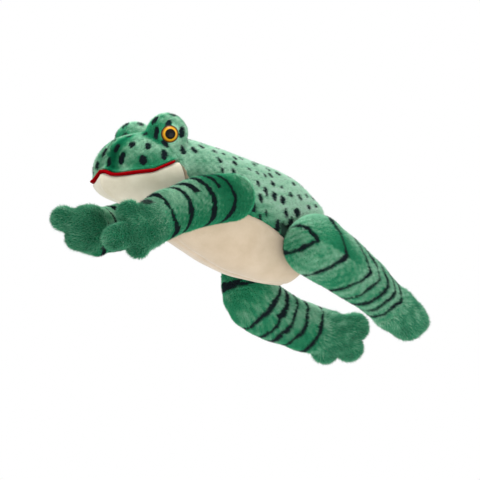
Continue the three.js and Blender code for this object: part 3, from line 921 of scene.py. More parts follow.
def geometry_tree(name, kinds, made):
    """A geometry node tree with named inputs: its builder, its inputs and the end's socket."""
    tree = bpy.data.node_groups.new(name, "GeometryNodeTree")
    for key, kind in kinds.items():
        tree.interface.new_socket(key, in_out="INPUT", socket_type=f"NodeSocket{kind}")
    tree.interface.new_socket(made, in_out="OUTPUT", socket_type="NodeSocketGeometry")
    s = Shade(tree)
    return s, s.node("NodeGroupInput").outputs, s.node("NodeGroupOutput").inputs[made]


def set_on_points(s, given, points, shape, facing, tall, width, end):
    """Copies of a shape on points, turned, sized, made real and given their material."""
    turn = s.node("FunctionNodeAlignRotationToVector", {"Vector": facing}, axis="Z")
    size = s.node("ShaderNodeCombineXYZ", {0: width, 1: width, 2: tall})
    where = {"Points": points, "Instance": shape, "Rotation": turn.outputs["Rotation"]}
    where["Scale"] = size.outputs[0]
    copies = s.node("GeometryNodeInstanceOnPoints", where).outputs["Instances"]
    real = s.node("GeometryNodeRealizeInstances", {"Geometry": copies}).outputs["Geometry"]
    paint = s.node("GeometryNodeSetMaterial", {"Geometry": real, "Material": given["Material"]})
    s.link(paint.outputs["Geometry"], end)


def pile_tree():
    """Pointed tufts scattered over a cloth, leaning along its nap."""
    kinds = {"Cloth": "Geometry", "Density": "Float", "Length": "Float", "Width": "Float"}
    kinds |= {"Ruffle": "Float", "Seed": "Int", "Material": "Material"}
    s, given, end = geometry_tree("Pile", kinds, "Tufts")

    def named(key, kind):
        n = s.node("GeometryNodeInputNamedAttribute", data_type=kind)
        n.inputs["Name"].default_value = key
        return n.outputs["Attribute"]

    def shuffled(kind, low, high, shift):
        first, out = (0, 0) if kind == "FLOAT_VECTOR" else (2, 1)
        n = s.node("FunctionNodeRandomValue", {first: low, first + 1: high}, data_type=kind)
        s.link(s.math("ADD", given["Seed"], shift), n.inputs["Seed"])
        return n.outputs[out]

    thick = s.math("MULTIPLY", given["Density"], named("cover", "FLOAT"))
    where = {"Mesh": given["Cloth"], "Density": thick, "Seed": given["Seed"]}
    spread = s.node("GeometryNodeDistributePointsOnFaces", where, distribute_method="RANDOM")
    cone = {"Vertices": 3, "Radius Top": 0.0, "Radius Bottom": 0.5, "Depth": 1.0}
    tuft = s.node("GeometryNodeMeshCone", cone, fill_type="NGON")
    split = s.node("ShaderNodeSeparateXYZ", {0: s.node("GeometryNodeInputPosition").outputs[0]})
    up = {"Geometry": tuft.outputs["Mesh"], "Name": "up", "Value": split.outputs[2]}
    mark = s.node("GeometryNodeStoreNamedAttribute", up, data_type="FLOAT", domain="POINT")
    loose = {0: shuffled("FLOAT_VECTOR", (-1, -1, -1), (1, 1, 1), 1), "Scale": given["Ruffle"]}
    ruffle = s.node("ShaderNodeVectorMath", loose, operation="SCALE")
    lean = {0: named("nap", "FLOAT_VECTOR"), 1: ruffle.outputs[0]}
    facing = s.node("ShaderNodeVectorMath", lean, operation="ADD").outputs[0]
    tall = s.math("MULTIPLY", given["Length"], shuffled("FLOAT", 0.7, 1.15, 2))
    tall = s.math("MULTIPLY", tall, named("tall", "FLOAT"))
    shape = mark.outputs["Geometry"]
    set_on_points(s, given, spread.outputs["Points"], shape, facing, tall, given["Width"], end)
    return s.tree


def stitch_tree():
    """Short stitches spaced along a line."""
    kinds = {"Line": "Geometry", "Spacing": "Float", "Length": "Float", "Radius": "Float"}
    s, given, end = geometry_tree("Stitches", kinds | {"Material": "Material"}, "Stitches")
    curve = s.node("GeometryNodeMeshToCurve", {"Mesh": given["Line"]}).outputs["Curve"]
    spots = s.node("GeometryNodeCurveToPoints", mode="LENGTH")
    s.link(curve, spots.inputs["Curve"])
    s.link(given["Spacing"], spots.inputs["Length"])
    bead = s.node("GeometryNodeMeshUVSphere", {"Segments": 8, "Rings": 5, "Radius": 1.0})
    shape, facing = bead.outputs["Mesh"], spots.outputs["Tangent"]
    points, length_of = spots.outputs["Points"], given["Length"]
    set_on_points(s, given, points, shape, facing, length_of, given["Radius"], end)
    return s.tree


def modified(obj, tree, values, name):
    """A plain mesh object from a node tree run over obj, whose inputs are given by name."""
    modifier = obj.modifiers.new(tree.name, "NODES")
    modifier.node_group = tree
    for item in tree.interface.items_tree:
        if item.in_out == "INPUT" and item.name in values:
            modifier[item.identifier] = values[item.name]
    evaluated = obj.evaluated_get(bpy.context.evaluated_depsgraph_get())
    mesh = bpy.data.meshes.new_from_object(evaluated)
    obj.modifiers.remove(modifier)
    made = bpy.data.objects.new(name, mesh)
    mesh.name = name
    bpy.context.scene.collection.objects.link(made)
    return made


def outward(obj):
    mesh = obj.data
    n = np.zeros(len(mesh.vertices) * 3)
    mesh.vertices.foreach_get("normal", n)
    return n.reshape(-1, 3)


def grow_pile(cloth, name, tone, nap, cover, paw=False, tall=None):
    """Pile over a cloth. tone, nap and cover are functions of points in millimetres."""
    p, n = points_of(cloth), outward(cloth)
    flow = nap(p)
    flow = flow - (flow * n).sum(1)[:, None] * n
    flow = flow / np.maximum(np.linalg.norm(flow, axis=1), 0.3)[:, None]
    attribute(cloth, "nap", 0.66 * n + 0.75 * flow, "FLOAT_VECTOR")
    attribute(cloth, "cover", cover(p))
    attribute(cloth, "tall", np.ones(len(p)) if tall is None else tall(p))
    s = sizes()
    thin = 1.0
    values = {
        "Density": s.density * 1e6 * thin * (0.8 if paw else 1.0),
        "Length": s.paw_pile if paw else s.pile,
        "Width": s.fibre * (1.25 if paw else 1.0) / math.sqrt(thin),
        "Ruffle": 0.34 if paw else 0.26,
        "Seed": s.seed,
        "Material": pile_material(paw),
    }
    tree = bpy.data.node_groups.get("Pile") or pile_tree()
    tufts = modified(cloth, tree, values, name)
    mesh = tufts.data
    for key in ("nap", "cover", "tall"):
        cloth.data.attributes.remove(cloth.data.attributes[key])
    up = np.zeros(len(mesh.vertices))
    mesh.attributes["up"].data.foreach_get("value", up)
    count = len(up) // 4
    low = up.reshape(count, 4) < 0.5
    q = points_of(tufts).reshape(count, 4, 3)
    root = (q * low[:, :, None]).sum(1) / 3
    t = tone(root)
    spread = np.array([0.0, 0.004, 0.008, 0.004])
    u = (np.clip(t, 0.01, 0.98)[:, None] + spread[None] - 0.004).ravel()
    v = np.where(up > 0.5, 0.99, np.tile([0.01, 0.03, 0.05, 0.02], count))
    for layer in list(mesh.uv_layers):
        mesh.uv_layers.remove(layer)
    layer = mesh.uv_layers.new(name="OFBake")
    corner = np.zeros(len(mesh.loops), dtype=np.int32)
    mesh.loops.foreach_get("vertex_index", corner)
    layer.data.foreach_set("uv", np.column_stack([u[corner], v[corner]]).ravel())
    for key in [a.name for a in mesh.attributes if a.name in ("up", "nap", "cover", "tall", "tone")]:
        mesh.attributes.remove(mesh.attributes[key])
    mesh.polygons.foreach_set("use_smooth", np.ones(len(mesh.polygons), dtype=bool))
    return tufts


def paint_backing(cloth, tone):
    attribute(cloth, "tone", tone(points_of(cloth)))
    cloth.data.materials.clear()
    cloth.data.materials.append(plush_backing())


# ---- The cloths' common motion ---------------------------------------------------------------

TURN_BEND = ((0, -0.108, 0.06), (0, -0.129, 0.06))
NOD_BEND = ((0, -0.131, 0.06), (0, -0.151, 0.06))
JAW_BEND = ((0, -0.166, 0.036), (0, -0.197, 0.022))
HEAD_FROM = -130.0


def bend(obj, bodies, ends):
    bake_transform(obj, *bodies, start=ends[0], end=ends[1])


def toward(place, direction, reach):
    """Two points, in metres, on either side of a joint."""
    step = direction / np.linalg.norm(direction) * reach
    return tuple((place - step) * MM), tuple((place + step) * MM)


FLOOR_HEIGHT = -950
LENS, SENSOR, CAMERA_REACH = 371, 36, 5.0


class FROG_OT_stage(bpy.types.Operator):
    """Sets the floor, the soft lights and the camera"""

    bl_idname = "frog.stage"
    bl_label = "Stage"

    def execute(self, context):
        def build(s):
            stops = [(0.3, (0.88, 0.88, 0.87, 1)), (0.7, (0.92, 0.92, 0.91, 1))]
            return {"Base Color": s.ramp(s.patches(1.2)["Broad"], stops)}

        rings, sides = (0, 1.5, 4, 9, 20), 64
        turn = np.linspace(0, 2 * np.pi, sides, endpoint=False)
        around = [(r * 1000 * np.cos(a), r * 1000 * np.sin(a)) for r in rings[1:] for a in turn]
        points = [(x, y, FLOOR_HEIGHT) for x, y in [(0, 0)] + around]
        faces = [(0, 1 + k, 1 + (k + 1) % sides) for k in range(sides)]
        for i in range(len(rings) - 2):
            a, b = 1 + i * sides, 1 + (i + 1) * sides
            faces += [(a + k, b + k, b + (k + 1) % sides, a + (k + 1) % sides) for k in range(sides)]
        mesh = bpy.data.meshes.new("floor")
        mesh.from_pydata([tuple(c * MM for c in q) for q in points], [], faces)
        floor = bpy.data.objects.new("floor", mesh)
        mesh.materials.append(material("pale_floor", build, 0.7))
        context.scene.collection.objects.link(floor)

        context.scene.view_settings.view_transform = "Standard"
        world = bpy.data.worlds.new("Studio")
        context.scene.world = world
        world.use_nodes = True
        sky = world.node_tree.nodes["Background"]
        sky.inputs["Color"].default_value = (1.0, 1.0, 1.0, 1)
        sky.inputs["Strength"].default_value = 1.0
        middle = np.array([0.0, -0.07, 0.01])
        lamps = (
            ("key", (0.5, -0.6, 1.7), 0.9, 22.0),
            ("fill", (1.3, -0.4, -0.5), 1.2, 9.0),
            ("back", (-0.9, 0.9, 0.9), 1.0, 7.0),
        )
        for name, place, size, power in lamps:
            light = bpy.data.lights.new(name, "AREA")
            light.size, light.energy = size, power
            lamp = bpy.data.objects.new(name, light)
            context.scene.collection.objects.link(lamp)
            lamp.location = place
            aim = Vector(middle - np.array(place))
            lamp.rotation_euler = aim.to_track_quat("-Z", "Y").to_euler()

        right = np.array([0.602, 0.799, 0.0])
        up = np.array([0.1387, -0.1045, 0.985])
        back = np.cross(right, up)
        lens = bpy.data.cameras.new("camera")
        lens.lens, lens.sensor_width, lens.clip_end = LENS, SENSOR, 60
        camera = bpy.data.objects.new("camera", lens)
        context.scene.collection.objects.link(camera)
        place = np.array([-0.0310, -0.0455, 0.0148]) + CAMERA_REACH * back
        matrix = Matrix.Identity(4)
        for column, axis in enumerate((right, up, back)):
            for row in range(3):
                matrix[row][column] = axis[row]
        for row in range(3):
            matrix[row][3] = place[row]
        camera.matrix_world = matrix
        context.scene.camera = camera
        return {"FINISHED"}


BODY_PUSH = []


def body_push():
    """The slight push on the body's cloth, worked out once for the torso, head and jaw."""
    if BODY_PUSH:
        return BODY_PUSH[0]

    def held(p):
        seam = np.exp(-(((p[:, 2] - seam_height(p[:, 1])) / 4) ** 2)) * (p[:, 1] > -178)
        lips = np.exp(-(((p[:, 2] - mouth_height(p[:, 0], p[:, 1])) / 8) ** 2)) * (p[:, 1] < -172)
        mounds = ball(mirrored(p), MOUND, MOUND_RADIUS + 4) < 0
        rear = p @ RUMP > -8
        middle = np.exp(-((p[:, 0] / 3.5) ** 2)) * (p[:, 2] < seam_height(p[:, 1]))
        return np.maximum.reduce([seam * 0.85, lips * 1.2, mounds * 1.0, rear * 1.0, middle * 0.85])

    BODY_PUSH.append(stuffing_push(body_form, (-64, -254, -46), (64, 48, 128), held))
    return BODY_PUSH[0]


def back_flow(p):
    """The nap runs to the rear and down the sides."""
    return np.column_stack([0.15 * p[:, 0] / 40, np.ones(len(p)), np.full(len(p), -0.35)])


class FROG_OT_body(bpy.types.Operator):
    """Makes the back and belly cloths and the back's pile"""

    bl_idname = "frog.body"
    bl_label = "Body"

    def execute(self, context):
        step = sizes().skin_step / MM

        def hollow(p):
            return loft(p, GLOVE, 12) - 2.4

        def form(p):
            return soft_max(body_form(p), -hollow(p), 3)

        points, faces = skin(form, (-60, -150, -42), (60, 44, 112), step)
        points = body_push()(points)
        whole = put("whole", points, faces, None)
        torso = cut(whole, lambda p: p[:, 1] - HEAD_FROM, True, "torso")
        outer = cut(torso, lambda p: body_form(p) + 6, True, "outer")
        back = cut(outer, lambda p: p[:, 2] - seam_height(p[:, 1]), True, "back_plush")
        belly = cut(outer, lambda p: p[:, 2] - seam_height(p[:, 1]), False, "belly")
        for side, sign in SIDES:
            half = cut(belly, lambda p: p[:, 0], sign > 0, f"belly_velour_{side}")
            half.data.materials.append(velour("belly_velour", colours().velour))
            finished(half, CLOTH_WALL, 1)
            bend(half, ("torso", "neck"), TURN_BEND)
            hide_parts(f"belly_panel_{side}")
        p = points_of(back)
        spots = scatter(p, sizes().spot_gap / MM, sizes().seed)

        def tone(q):
            return body_tone(q, spots)

        paint_backing(back, tone)
        for side, sign in SIDES:
            def cover(q):
                here = np.clip(q[:, 0] * sign / 2.4 + 0.5, 0, 1)
                edge = body_form(q) > -2.8
                return here * edge

            tufts = grow_pile(back, f"back_pile_{side}", tone, back_flow, cover)
            bend(tufts, ("torso", "neck"), TURN_BEND)
        finished(back, CLOTH_WALL)
        bend(back, ("torso", "neck"), TURN_BEND)
        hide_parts("back_panel", "torso_wadding")
        for gone in (whole, torso, outer, belly):
            drop(gone)
        return {"FINISHED"}


def eye_facing(sign):
    facing = np.array([0.893 * sign, -0.447, -0.2])
    return facing / np.linalg.norm(facing)


def eye_seat(sign):
    return MOUND * [sign, 1, 1] + eye_facing(sign) * math.sqrt(MOUND_RADIUS**2 - EYE_RADIUS**2)


class FROG_OT_head(bpy.types.Operator):
    """Makes the head, its pile, the throat and the lower jaw"""

    bl_idname = "frog.head"
    bl_label = "Head"

    def execute(self, context):
        gap = 1.5

        def upper(p):
            return soft_max(body_form(p), -(jaw_room(p)) + gap, 3)

        def lower(p):
            height = p[:, 2] - mouth_height(p[:, 0], p[:, 1])
            return soft_max(soft_max(body_form(p), height + gap, 3.5), behind_jaw(p) + 0.3, 1.5)

        fine = sizes().skin_step / MM * 0.8
        points, faces = skin(upper, (-62, -252, -22), (62, -120, 128), fine)
        points = body_push()(points)
        whole = put("whole_head", points, faces, None)
        front = cut(whole, lambda p: HEAD_FROM - p[:, 1], True, "front_head")
        def over_seam(p):
            return np.maximum(p[:, 2] - seam_height(p[:, 1]), -179.5 - p[:, 1])

        head = cut(front, over_seam, True, "head_plush")
        throat = cut(front, over_seam, False, "throat_velour")
        throat.data.materials.append(velour("belly_velour", colours().velour))
        finished(throat, CLOTH_WALL, 1)
        bend(throat, ("neck", "head"), NOD_BEND)
        points, faces = skin(lower, (-62, -252, -16), (62, -136, 80), fine)
        points = body_push()(points)
        jaw = put("jaw_velour", points, faces, velour("chin_velour", colours().chin))
        finished(jaw, 0.0, 1)
        bend(jaw, ("head", "jaw"), JAW_BEND)
        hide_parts("chin_panel", "jaw_stuffing", "thumb_pocket")

        q = points_of(head)
        open_top = q[(q[:, 2] > mouth_height(q[:, 0], q[:, 1]) + 9)]
        spots = scatter(open_top, 13.5, sizes().seed + 5)

        def tone(p):
            return head_tone(p, spots)

        paint_backing(head, tone)

        def flow(p):
            away = p - np.array([0, -236, 84.0])
            return away / np.maximum(np.linalg.norm(away, axis=1), 1)[:, None]

        def near_eye(p):
            sign = np.where(p[:, 0] > 0, 1.0, -1.0)[:, None]
            off = p - np.where(sign > 0, eye_seat(1.0), eye_seat(-1.0))
            axis = np.where(sign > 0, eye_facing(1.0), eye_facing(-1.0))
            flat = off - (off * axis).sum(1)[:, None] * axis
            return np.where((off * axis).sum(1) > -6, np.linalg.norm(flat, axis=1), 99.0)

        for side, sign in SIDES:
            def cover(p):
                here = np.clip(p[:, 0] * sign / 2.4 + 0.5, 0, 1)
                outside = body_form(p) > -2.4
                return here * outside * (near_eye(p) > 8.8)

            def tall(p):
                lip = np.clip((p[:, 2] - mouth_height(p[:, 0], p[:, 1])) / 12, 0.35, 1)
                lip = np.where(p[:, 1] > -183, 1, lip)
                return np.minimum(lip, np.clip((near_eye(p) - 7.5) / 7, 0.3, 1))

            tufts = grow_pile(head, f"head_pile_{side}", tone, flow, cover, tall=tall)
            bend(tufts, ("neck", "head"), NOD_BEND)
        finished(head, 0.0)
        bend(head, ("neck", "head"), NOD_BEND)
        mounds = [f"eye_mound_{side}" for side, _ in SIDES]
        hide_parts("head_panel_left", "head_panel_right", "head_stuffing", *mounds)
        for gone in (whole, front):
            drop(gone)
        return {"FINISHED"}


def mouth_edge(count, inset=0.0):
    """The mouth's edge on the snout, from its left corner round to its right."""
    turn = np.linspace(-100, 100, count)
    a = np.radians(turn)
    centre = np.array([0.0, -196.0])
    way = np.column_stack([-np.sin(a), -np.cos(a)])
    low, high = np.zeros(count), np.full(count, 75.0)
    for _ in range(30):
        r = (low + high) / 2
        xy = centre + way * r[:, None]
        p = np.column_stack([xy, mouth_height(xy[:, 0], xy[:, 1])])
        inside = body_form(p) < 0
        low, high = np.where(inside, r, low), np.where(inside, high, r)
    xy = centre + way * (r - inset)[:, None]
    xy[:, 1] = np.minimum(xy[:, 1], HINGE[1] - 1)
    return np.column_stack([xy, mouth_height(xy[:, 0], xy[:, 1])])


def lace(rings, closed_ends=True):
    """A tube's points and faces from rings of points."""
    count, sides = len(rings), len(rings[0])
    points = np.concatenate(rings)
    faces = []
    for i in range(count - 1):
        for k in range(sides):
            a, b = i * sides + k, i * sides + (k + 1) % sides
            faces.append((a, b, b + sides, a + sides))
    if closed_ends:
        faces.append(tuple(range(sides))[::-1])
        faces.append(tuple(range((count - 1) * sides, count * sides)))
    return points, faces


def tube(path, radius, sides=10, closed=False):
    """Rings of a round cord along a path."""
    path = np.asarray(path, float)
    if closed:
        tangent = np.roll(path, -1, 0) - np.roll(path, 1, 0)
    else:
        tangent = np.gradient(path, axis=0)
    tangent /= np.linalg.norm(tangent, axis=1)[:, None]
    across = np.cross(tangent, [0, 0, 1.0])
    across /= np.maximum(np.linalg.norm(across, axis=1), 1e-6)[:, None]
    over = np.cross(across, tangent)
    turn = np.linspace(0, 2 * np.pi, sides, endpoint=False)
    ring = path[:, None] + radius * (
        across[:, None] * np.cos(turn)[None, :, None] + over[:, None] * np.sin(turn)[None, :, None]
    )
    return list(ring)


def recalculated(obj):
    work = bmesh.new()
    work.from_mesh(obj.data)
    bmesh.ops.remove_doubles(work, verts=work.verts, dist=1e-6)
    bmesh.ops.recalc_face_normals(work, faces=work.faces)
    work.to_mesh(obj.data)
    work.free()
    return obj


class FROG_OT_mouth(bpy.types.Operator):
    """Makes the red mouth's two linings and its cord"""

    bl_idname = "frog.mouth"
    bl_label = "Mouth"

    def execute(self, context):
        edge = mouth_edge(97)
        cord = edge + [0, 0, 0.5]
        points, faces = lace(tube(cord, sizes().piping / MM))
        piping = put("mouth_piping", points, faces, felt())
        recalculated(piping)
        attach(piping, "head")
        rim = mouth_edge(97, 0.9)
        middle = np.array([0, HINGE[1] - 12.0, 0])
        shares = np.linspace(0.02, 1, 15)
        for name, lift in (("palate", 0.2), ("jaw", -1.4)):
            rings = []
            for share in shares:
                ring = middle + (rim - middle) * share
                ring[:, 2] = mouth_height(ring[:, 0], ring[:, 1]) + lift
                rings.append(ring)
            layers = [np.concatenate(rings), np.concatenate(rings) + [0, 0, 1.2]]
            n, m = len(shares), len(rim)
            points = np.concatenate(layers)
            faces = []
            for i in range(n - 1):
                for k in range(m - 1):
                    a = i * m + k
                    quad = (a, a + 1, a + m + 1, a + m)
                    faces.append(quad)
                    faces.append(tuple(v + n * m for v in quad[::-1]))
            loop = list(range(m))[::-1] + [i * m for i in range(1, n)]
            loop += [(n - 1) * m + k for k in range(1, m)] + [i * m + m - 1 for i in range(n - 2, 0, -1)]
            for a, b in zip(loop, loop[1:] + loop[:1]):
                faces.append((a, b, b + n * m, a + n * m))
            cloth = put(f"{name}_felt", points, faces, felt())
            recalculated(cloth)
            if name == "jaw":
                bend(cloth, ("head", "jaw"), JAW_BEND)
            else:
                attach(cloth, "head")
            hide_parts(f"{name}_lining", f"{name}_board")
        return {"FINISHED"}


class FROG_OT_eyes(bpy.types.Operator):
    """Makes the two moulded eyes and their pupils"""

    bl_idname = "frog.eyes"
    bl_label = "Eyes"

    def execute(self, context):
        c = colours()
        rim, edge = (0.30, 0.11, 0.004, 1), (0.03, 0.015, 0.004, 1)
        ring_stops = [(0.0, c.amber), (0.74, c.amber), (0.86, rim), (0.94, edge)]
        amber = moulded("amber_moulding", ring_stops, 0.3, Coat_Weight=0.15, Specular_IOR_Level=0.12)
        pupil_stops = [(0.0, c.pupil), (1.0, (0.004, 0.003, 0.002, 1))]
        black = moulded("black_moulding", pupil_stops, 0.25, Coat_Weight=0.1, Specular_IOR_Level=0.08)
        radius, rise, sides = EYE_RADIUS, EYE_BULGE, 48
        ball_radius = (radius**2 + rise**2) / (2 * rise)
        turn = np.linspace(0, 2 * np.pi, sides, endpoint=False)

        def cap(start, count, lift=0.0):
            """The eye's round front, from a radius in to its middle, as radii and heights."""
            radii = np.linspace(start, 0.3, count)
            return [(r, math.sqrt(ball_radius**2 - r * r) - ball_radius + rise + lift) for r in radii]

        for side, sign in SIDES:
            axis = eye_facing(sign)
            seat = eye_seat(sign)
            u = np.cross([0, 0, 1.0], axis)
            u /= np.linalg.norm(u)
            w = np.cross(axis, u)

            def turned(profile, name, mat, reach):
                rings = [
                    seat + axis * h + r * (np.cos(turn)[:, None] * u + np.sin(turn)[:, None] * w)
                    for r, h in profile
                ]
                points, faces = lace(rings)
                obj = put(name, points, faces, mat)
                recalculated(obj)
                off = points_of(obj) - seat
                flat = off - (off @ axis)[:, None] * axis
                attribute(obj, "out", np.linalg.norm(flat, axis=1) / reach)
                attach(obj, "head")
                return obj

            shell = [(2.5, -10.0), (2.5, -1.6), (7.4, -1.6), (8.5, -1.2), (8.8, -0.4), (8.6, 0.25)]
            shell += cap(radius - 0.1, 16)
            eye = turned(shell, f"{side}_eye_ring", amber, 8.6)
            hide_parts(f"eye_{side}")
            pupil = [(PUPIL_RADIUS, 1.6), (PUPIL_RADIUS + 0.2, 2.8)] + cap(PUPIL_RADIUS, 8, 0.28)
            middle = turned(pupil, f"{side}_eye_pupil", black, PUPIL_RADIUS - 0.1)
            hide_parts(f"pupil_{side}")
            washer = frame["nodes"][f"eye_washer_{side}"]
            for place in washer.material_slots:
                place.material = plain_plastic("washer_moulding", (0.55, 0.55, 0.52, 1), 0.5)
        return {"FINISHED"}


# Each band: how far along its limb, its lean above and below the side seam, and its lowest reach.
ARM_BANDS = {
    "left": (
        (19, 0.3, 0.5, -99),
        (36, 0.1, 0, 13),
        (52, 0.08, 0.08, -99),
        (68, 0.1, 0, 14),
        (83, 0, 0.06, -99),
        (103, 0, -0.1, -99),
        (114, 0, 0, 15),
    ),
    "right": ((4, 0, 0, -99), (22, 0.1, 0.1, -99), (40, 0, 0, -99), (56, 0, 0, -99), (74, 0, 0, -99)),
}
LEG_BANDS = {
    "left": (
        (-15, -0.85, -0.45, -99),
        (21, -1.0, -0.6, -99),
        (60, -1.2, -0.62, -99),
        (74, -1.1, -0.4, -99),
        (88, -0.9, -0.3, -99),
        (101, -0.8, -0.3, -99),
        (114, -0.7, -0.25, -99),
    ),
    "right": tuple((at, 0.05, -0.05, -99) for at in (28, 54, 68, 82, 98, 117)),
}
# Each look: the cloth's tone and how much paler painted light makes its top, the deep patch, where the
# paw starts, the seam's height and slope, and half a band's width.
LOOK_KEYS = ("seed", "base", "lift", "deep", "deep_reach", "paw", "seam", "width")
LIMB_LOOKS = {
    name: dict(zip(LOOK_KEYS, row))
    for name, row in {
        "left_arm": (60, 0.54, 0.12, 26, 36, 110, (0, 0), 2.8),
        "right_arm": (61, 0.54, 0.12, 8, 34, 78, (0, 0), 2.4),
        "left_leg": (70, 0.62, 0.06, 18, 44, 120, (-12, 0.12), 2.4),
        "right_leg": (71, 0.60, 0.06, 10, 24, 123, (0, 0), 2.3),
    }.items()
}


class FROG_OT_limbs(bpy.types.Operator):
    """Makes the arms and legs with their pile"""

    bl_idname = "frog.limbs"
    bl_label = "Limbs"

    def execute(self, context):
        for side, sign in SIDES:
            self.arm(side)
            self.leg(side, sign)
        return {"FINISHED"}

    def arm(self, side):
        shoulder, wrist = PIVOTS[f"{side}_shoulder"], PIVOTS[f"{side}_wrist"]
        low, high = node_box(f"{side}_hand_cover")
        low2, high2 = node_box(f"{side}_arm_cover")
        low, high = np.minimum(low, low2) - 6, np.maximum(high, high2) + 6

        def form(p):
            fold = 0.5 * wobble(p, 7, 40)
            return soft_max(arm_form(p, side) + fold, limb_room(p, shoulder, SHOULDER_HALF, side), 2)

        def held(p):
            creases = np.exp(-((((p - wrist) @ (wrist - shoulder)) / 95 / 4) ** 2))
            return np.maximum(0.7 * creases, limb_room(p, shoulder, SHOULDER_HALF, side) > -3)

        points, faces = skin(form, low, high, sizes().skin_step / MM)
        points = stuffing_push(form, low, high, held)(points)
        arm = put(f"{side}_arm_plush", points, faces, None)
        tips = points[:, 1] < wrist[1] - 15
        palm = points[tips].mean(0) if tips.any() else wrist
        line = [shoulder, (shoulder + wrist) / 2, wrist, palm]
        reach = np.linalg.norm(wrist - shoulder)

        def tone(p):
            return limb_tone(p, line, ARM_BANDS[side], LIMB_LOOKS[f"{side}_arm"])

        paint_backing(arm, tone)
        way = palm - wrist
        bodies = (f"{side}_arm", f"{side}_hand")
        ends = toward(wrist, way, 12)

        def flow(p):
            return np.tile(palm - shoulder, (len(p), 1)) / reach

        def on_hand(p):
            return along_limb(p, line)[0] - LIMB_LOOKS[f"{side}_arm"]["paw"]

        def outer(p):
            return limb_room(p, shoulder, SHOULDER_HALF, side) < -1.4

        for name, paw in (("arm", False), ("hand", True)):
            def cover(p):
                here = np.clip(on_hand(p) / 4 + 0.5, 0, 1)
                return (here if paw else 1 - here) * outer(p)

            tufts = grow_pile(arm, f"{side}_{name}_pile", tone, flow, cover, paw)
            bend(tufts, bodies, ends)
        finished(arm, 0.0)
        bend(arm, bodies, ends)
        nodes = [f"{side}_{piece}_{kind}" for piece in ("arm", "hand") for kind in ("cover", "stuffing")]
        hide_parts(*nodes)

    def leg(self, side, sign):
        hip, knee, ankle = (PIVOTS[f"{side}_{j}"] for j in ("hip", "knee", "ankle"))
        boxes = [node_box(f"{side}_{piece}_cover") for piece in ("thigh", "shank", "foot")]
        low = np.min([b[0] for b in boxes], axis=0) - 6
        high = np.max([b[1] for b in boxes], axis=0) + 6

        def form(p):
            fold = 0.6 * wobble(p, 8, 50)
            return soft_max(leg_form(p, side) + fold, limb_room(p, hip, HIP_HALF, side), 2)

        def held(p):
            seam = np.exp(-((p[:, 2] - hip[2] + 0.5 * (p[:, 1] - hip[1])) ** 2) / 20)
            creases = np.exp(-(((p - ankle) @ (ankle - knee) / 68 / 4) ** 2))
            room = limb_room(p, hip, HIP_HALF, side) > -3
            return np.maximum.reduce([0.6 * seam * (p[:, 0] * sign > 50), 0.6 * creases, room * 1.0])

        points, faces = skin(form, low, high, sizes().skin_step / MM)
        points = stuffing_push(form, low, high, held)(points)
        whole = put(f"{side}_leg", points, faces, None)
        foot_end = (boxes[2][0] + boxes[2][1]) / 2
        bent = smooth_curve(np.linspace(0, 3, 13), np.column_stack([range(4), [hip, knee, ankle, foot_end]]))
        line = list(bent)
        split = knee * 0.5 + ankle * 0.5
        shin = (ankle - knee) / np.linalg.norm(ankle - knee)

        def tone(p):
            return limb_tone(p, line, LEG_BANDS[side], LIMB_LOOKS[f"{side}_leg"])

        def flow(p):
            past = np.clip(along_limb(p, line)[0] / np.linalg.norm(knee - hip) - 0.5, 0, 1)[:, None]
            way = (knee - hip) * (1 - past) + (foot_end - knee) * past
            return way / np.linalg.norm(way, axis=1)[:, None]

        def beyond(p):
            return (p - split) @ shin

        def at_foot(p):
            return along_limb(p, line)[0] - LIMB_LOOKS[f"{side}_leg"]["paw"]

        def outer(p):
            return limb_room(p, hip, HIP_HALF, side) < -1.4

        upper = cut(whole, beyond, False, f"{side}_thigh_plush")
        lower = cut(whole, beyond, True, f"{side}_shank_plush")
        knee_way = (knee - hip) / np.linalg.norm(knee - hip) + shin
        bends = {
            "thigh": ((f"{side}_thigh", f"{side}_shank"), toward(knee, knee_way, 13)),
            "shank": ((f"{side}_shank", f"{side}_foot"), toward(ankle, foot_end - ankle, 11)),
        }
        for piece, cloth in (("thigh", upper), ("shank", lower)):
            bodies, ends = bends[piece]
            paint_backing(cloth, tone)
            parts = (("thigh", False),) if piece == "thigh" else (("shank", False), ("foot", True))
            for name, paw in parts:
                def cover(p):
                    here = np.clip(at_foot(p) / 4 + 0.5, 0, 1) * (piece == "shank")
                    return (here if paw else 1 - here) * outer(p)

                tufts = grow_pile(cloth, f"{side}_{name}_pile", tone, flow, cover, paw)
                bend(tufts, bodies, ends)
            finished(cloth, CLOTH_WALL)
            bend(cloth, bodies, ends)
        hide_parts(f"{side}_thigh_cover", f"{side}_thigh_stuffing")
        nodes = [f"{side}_{piece}_{kind}" for piece in ("shank", "foot") for kind in ("cover", "stuffing")]
        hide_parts(*nodes)
        drop(whole)


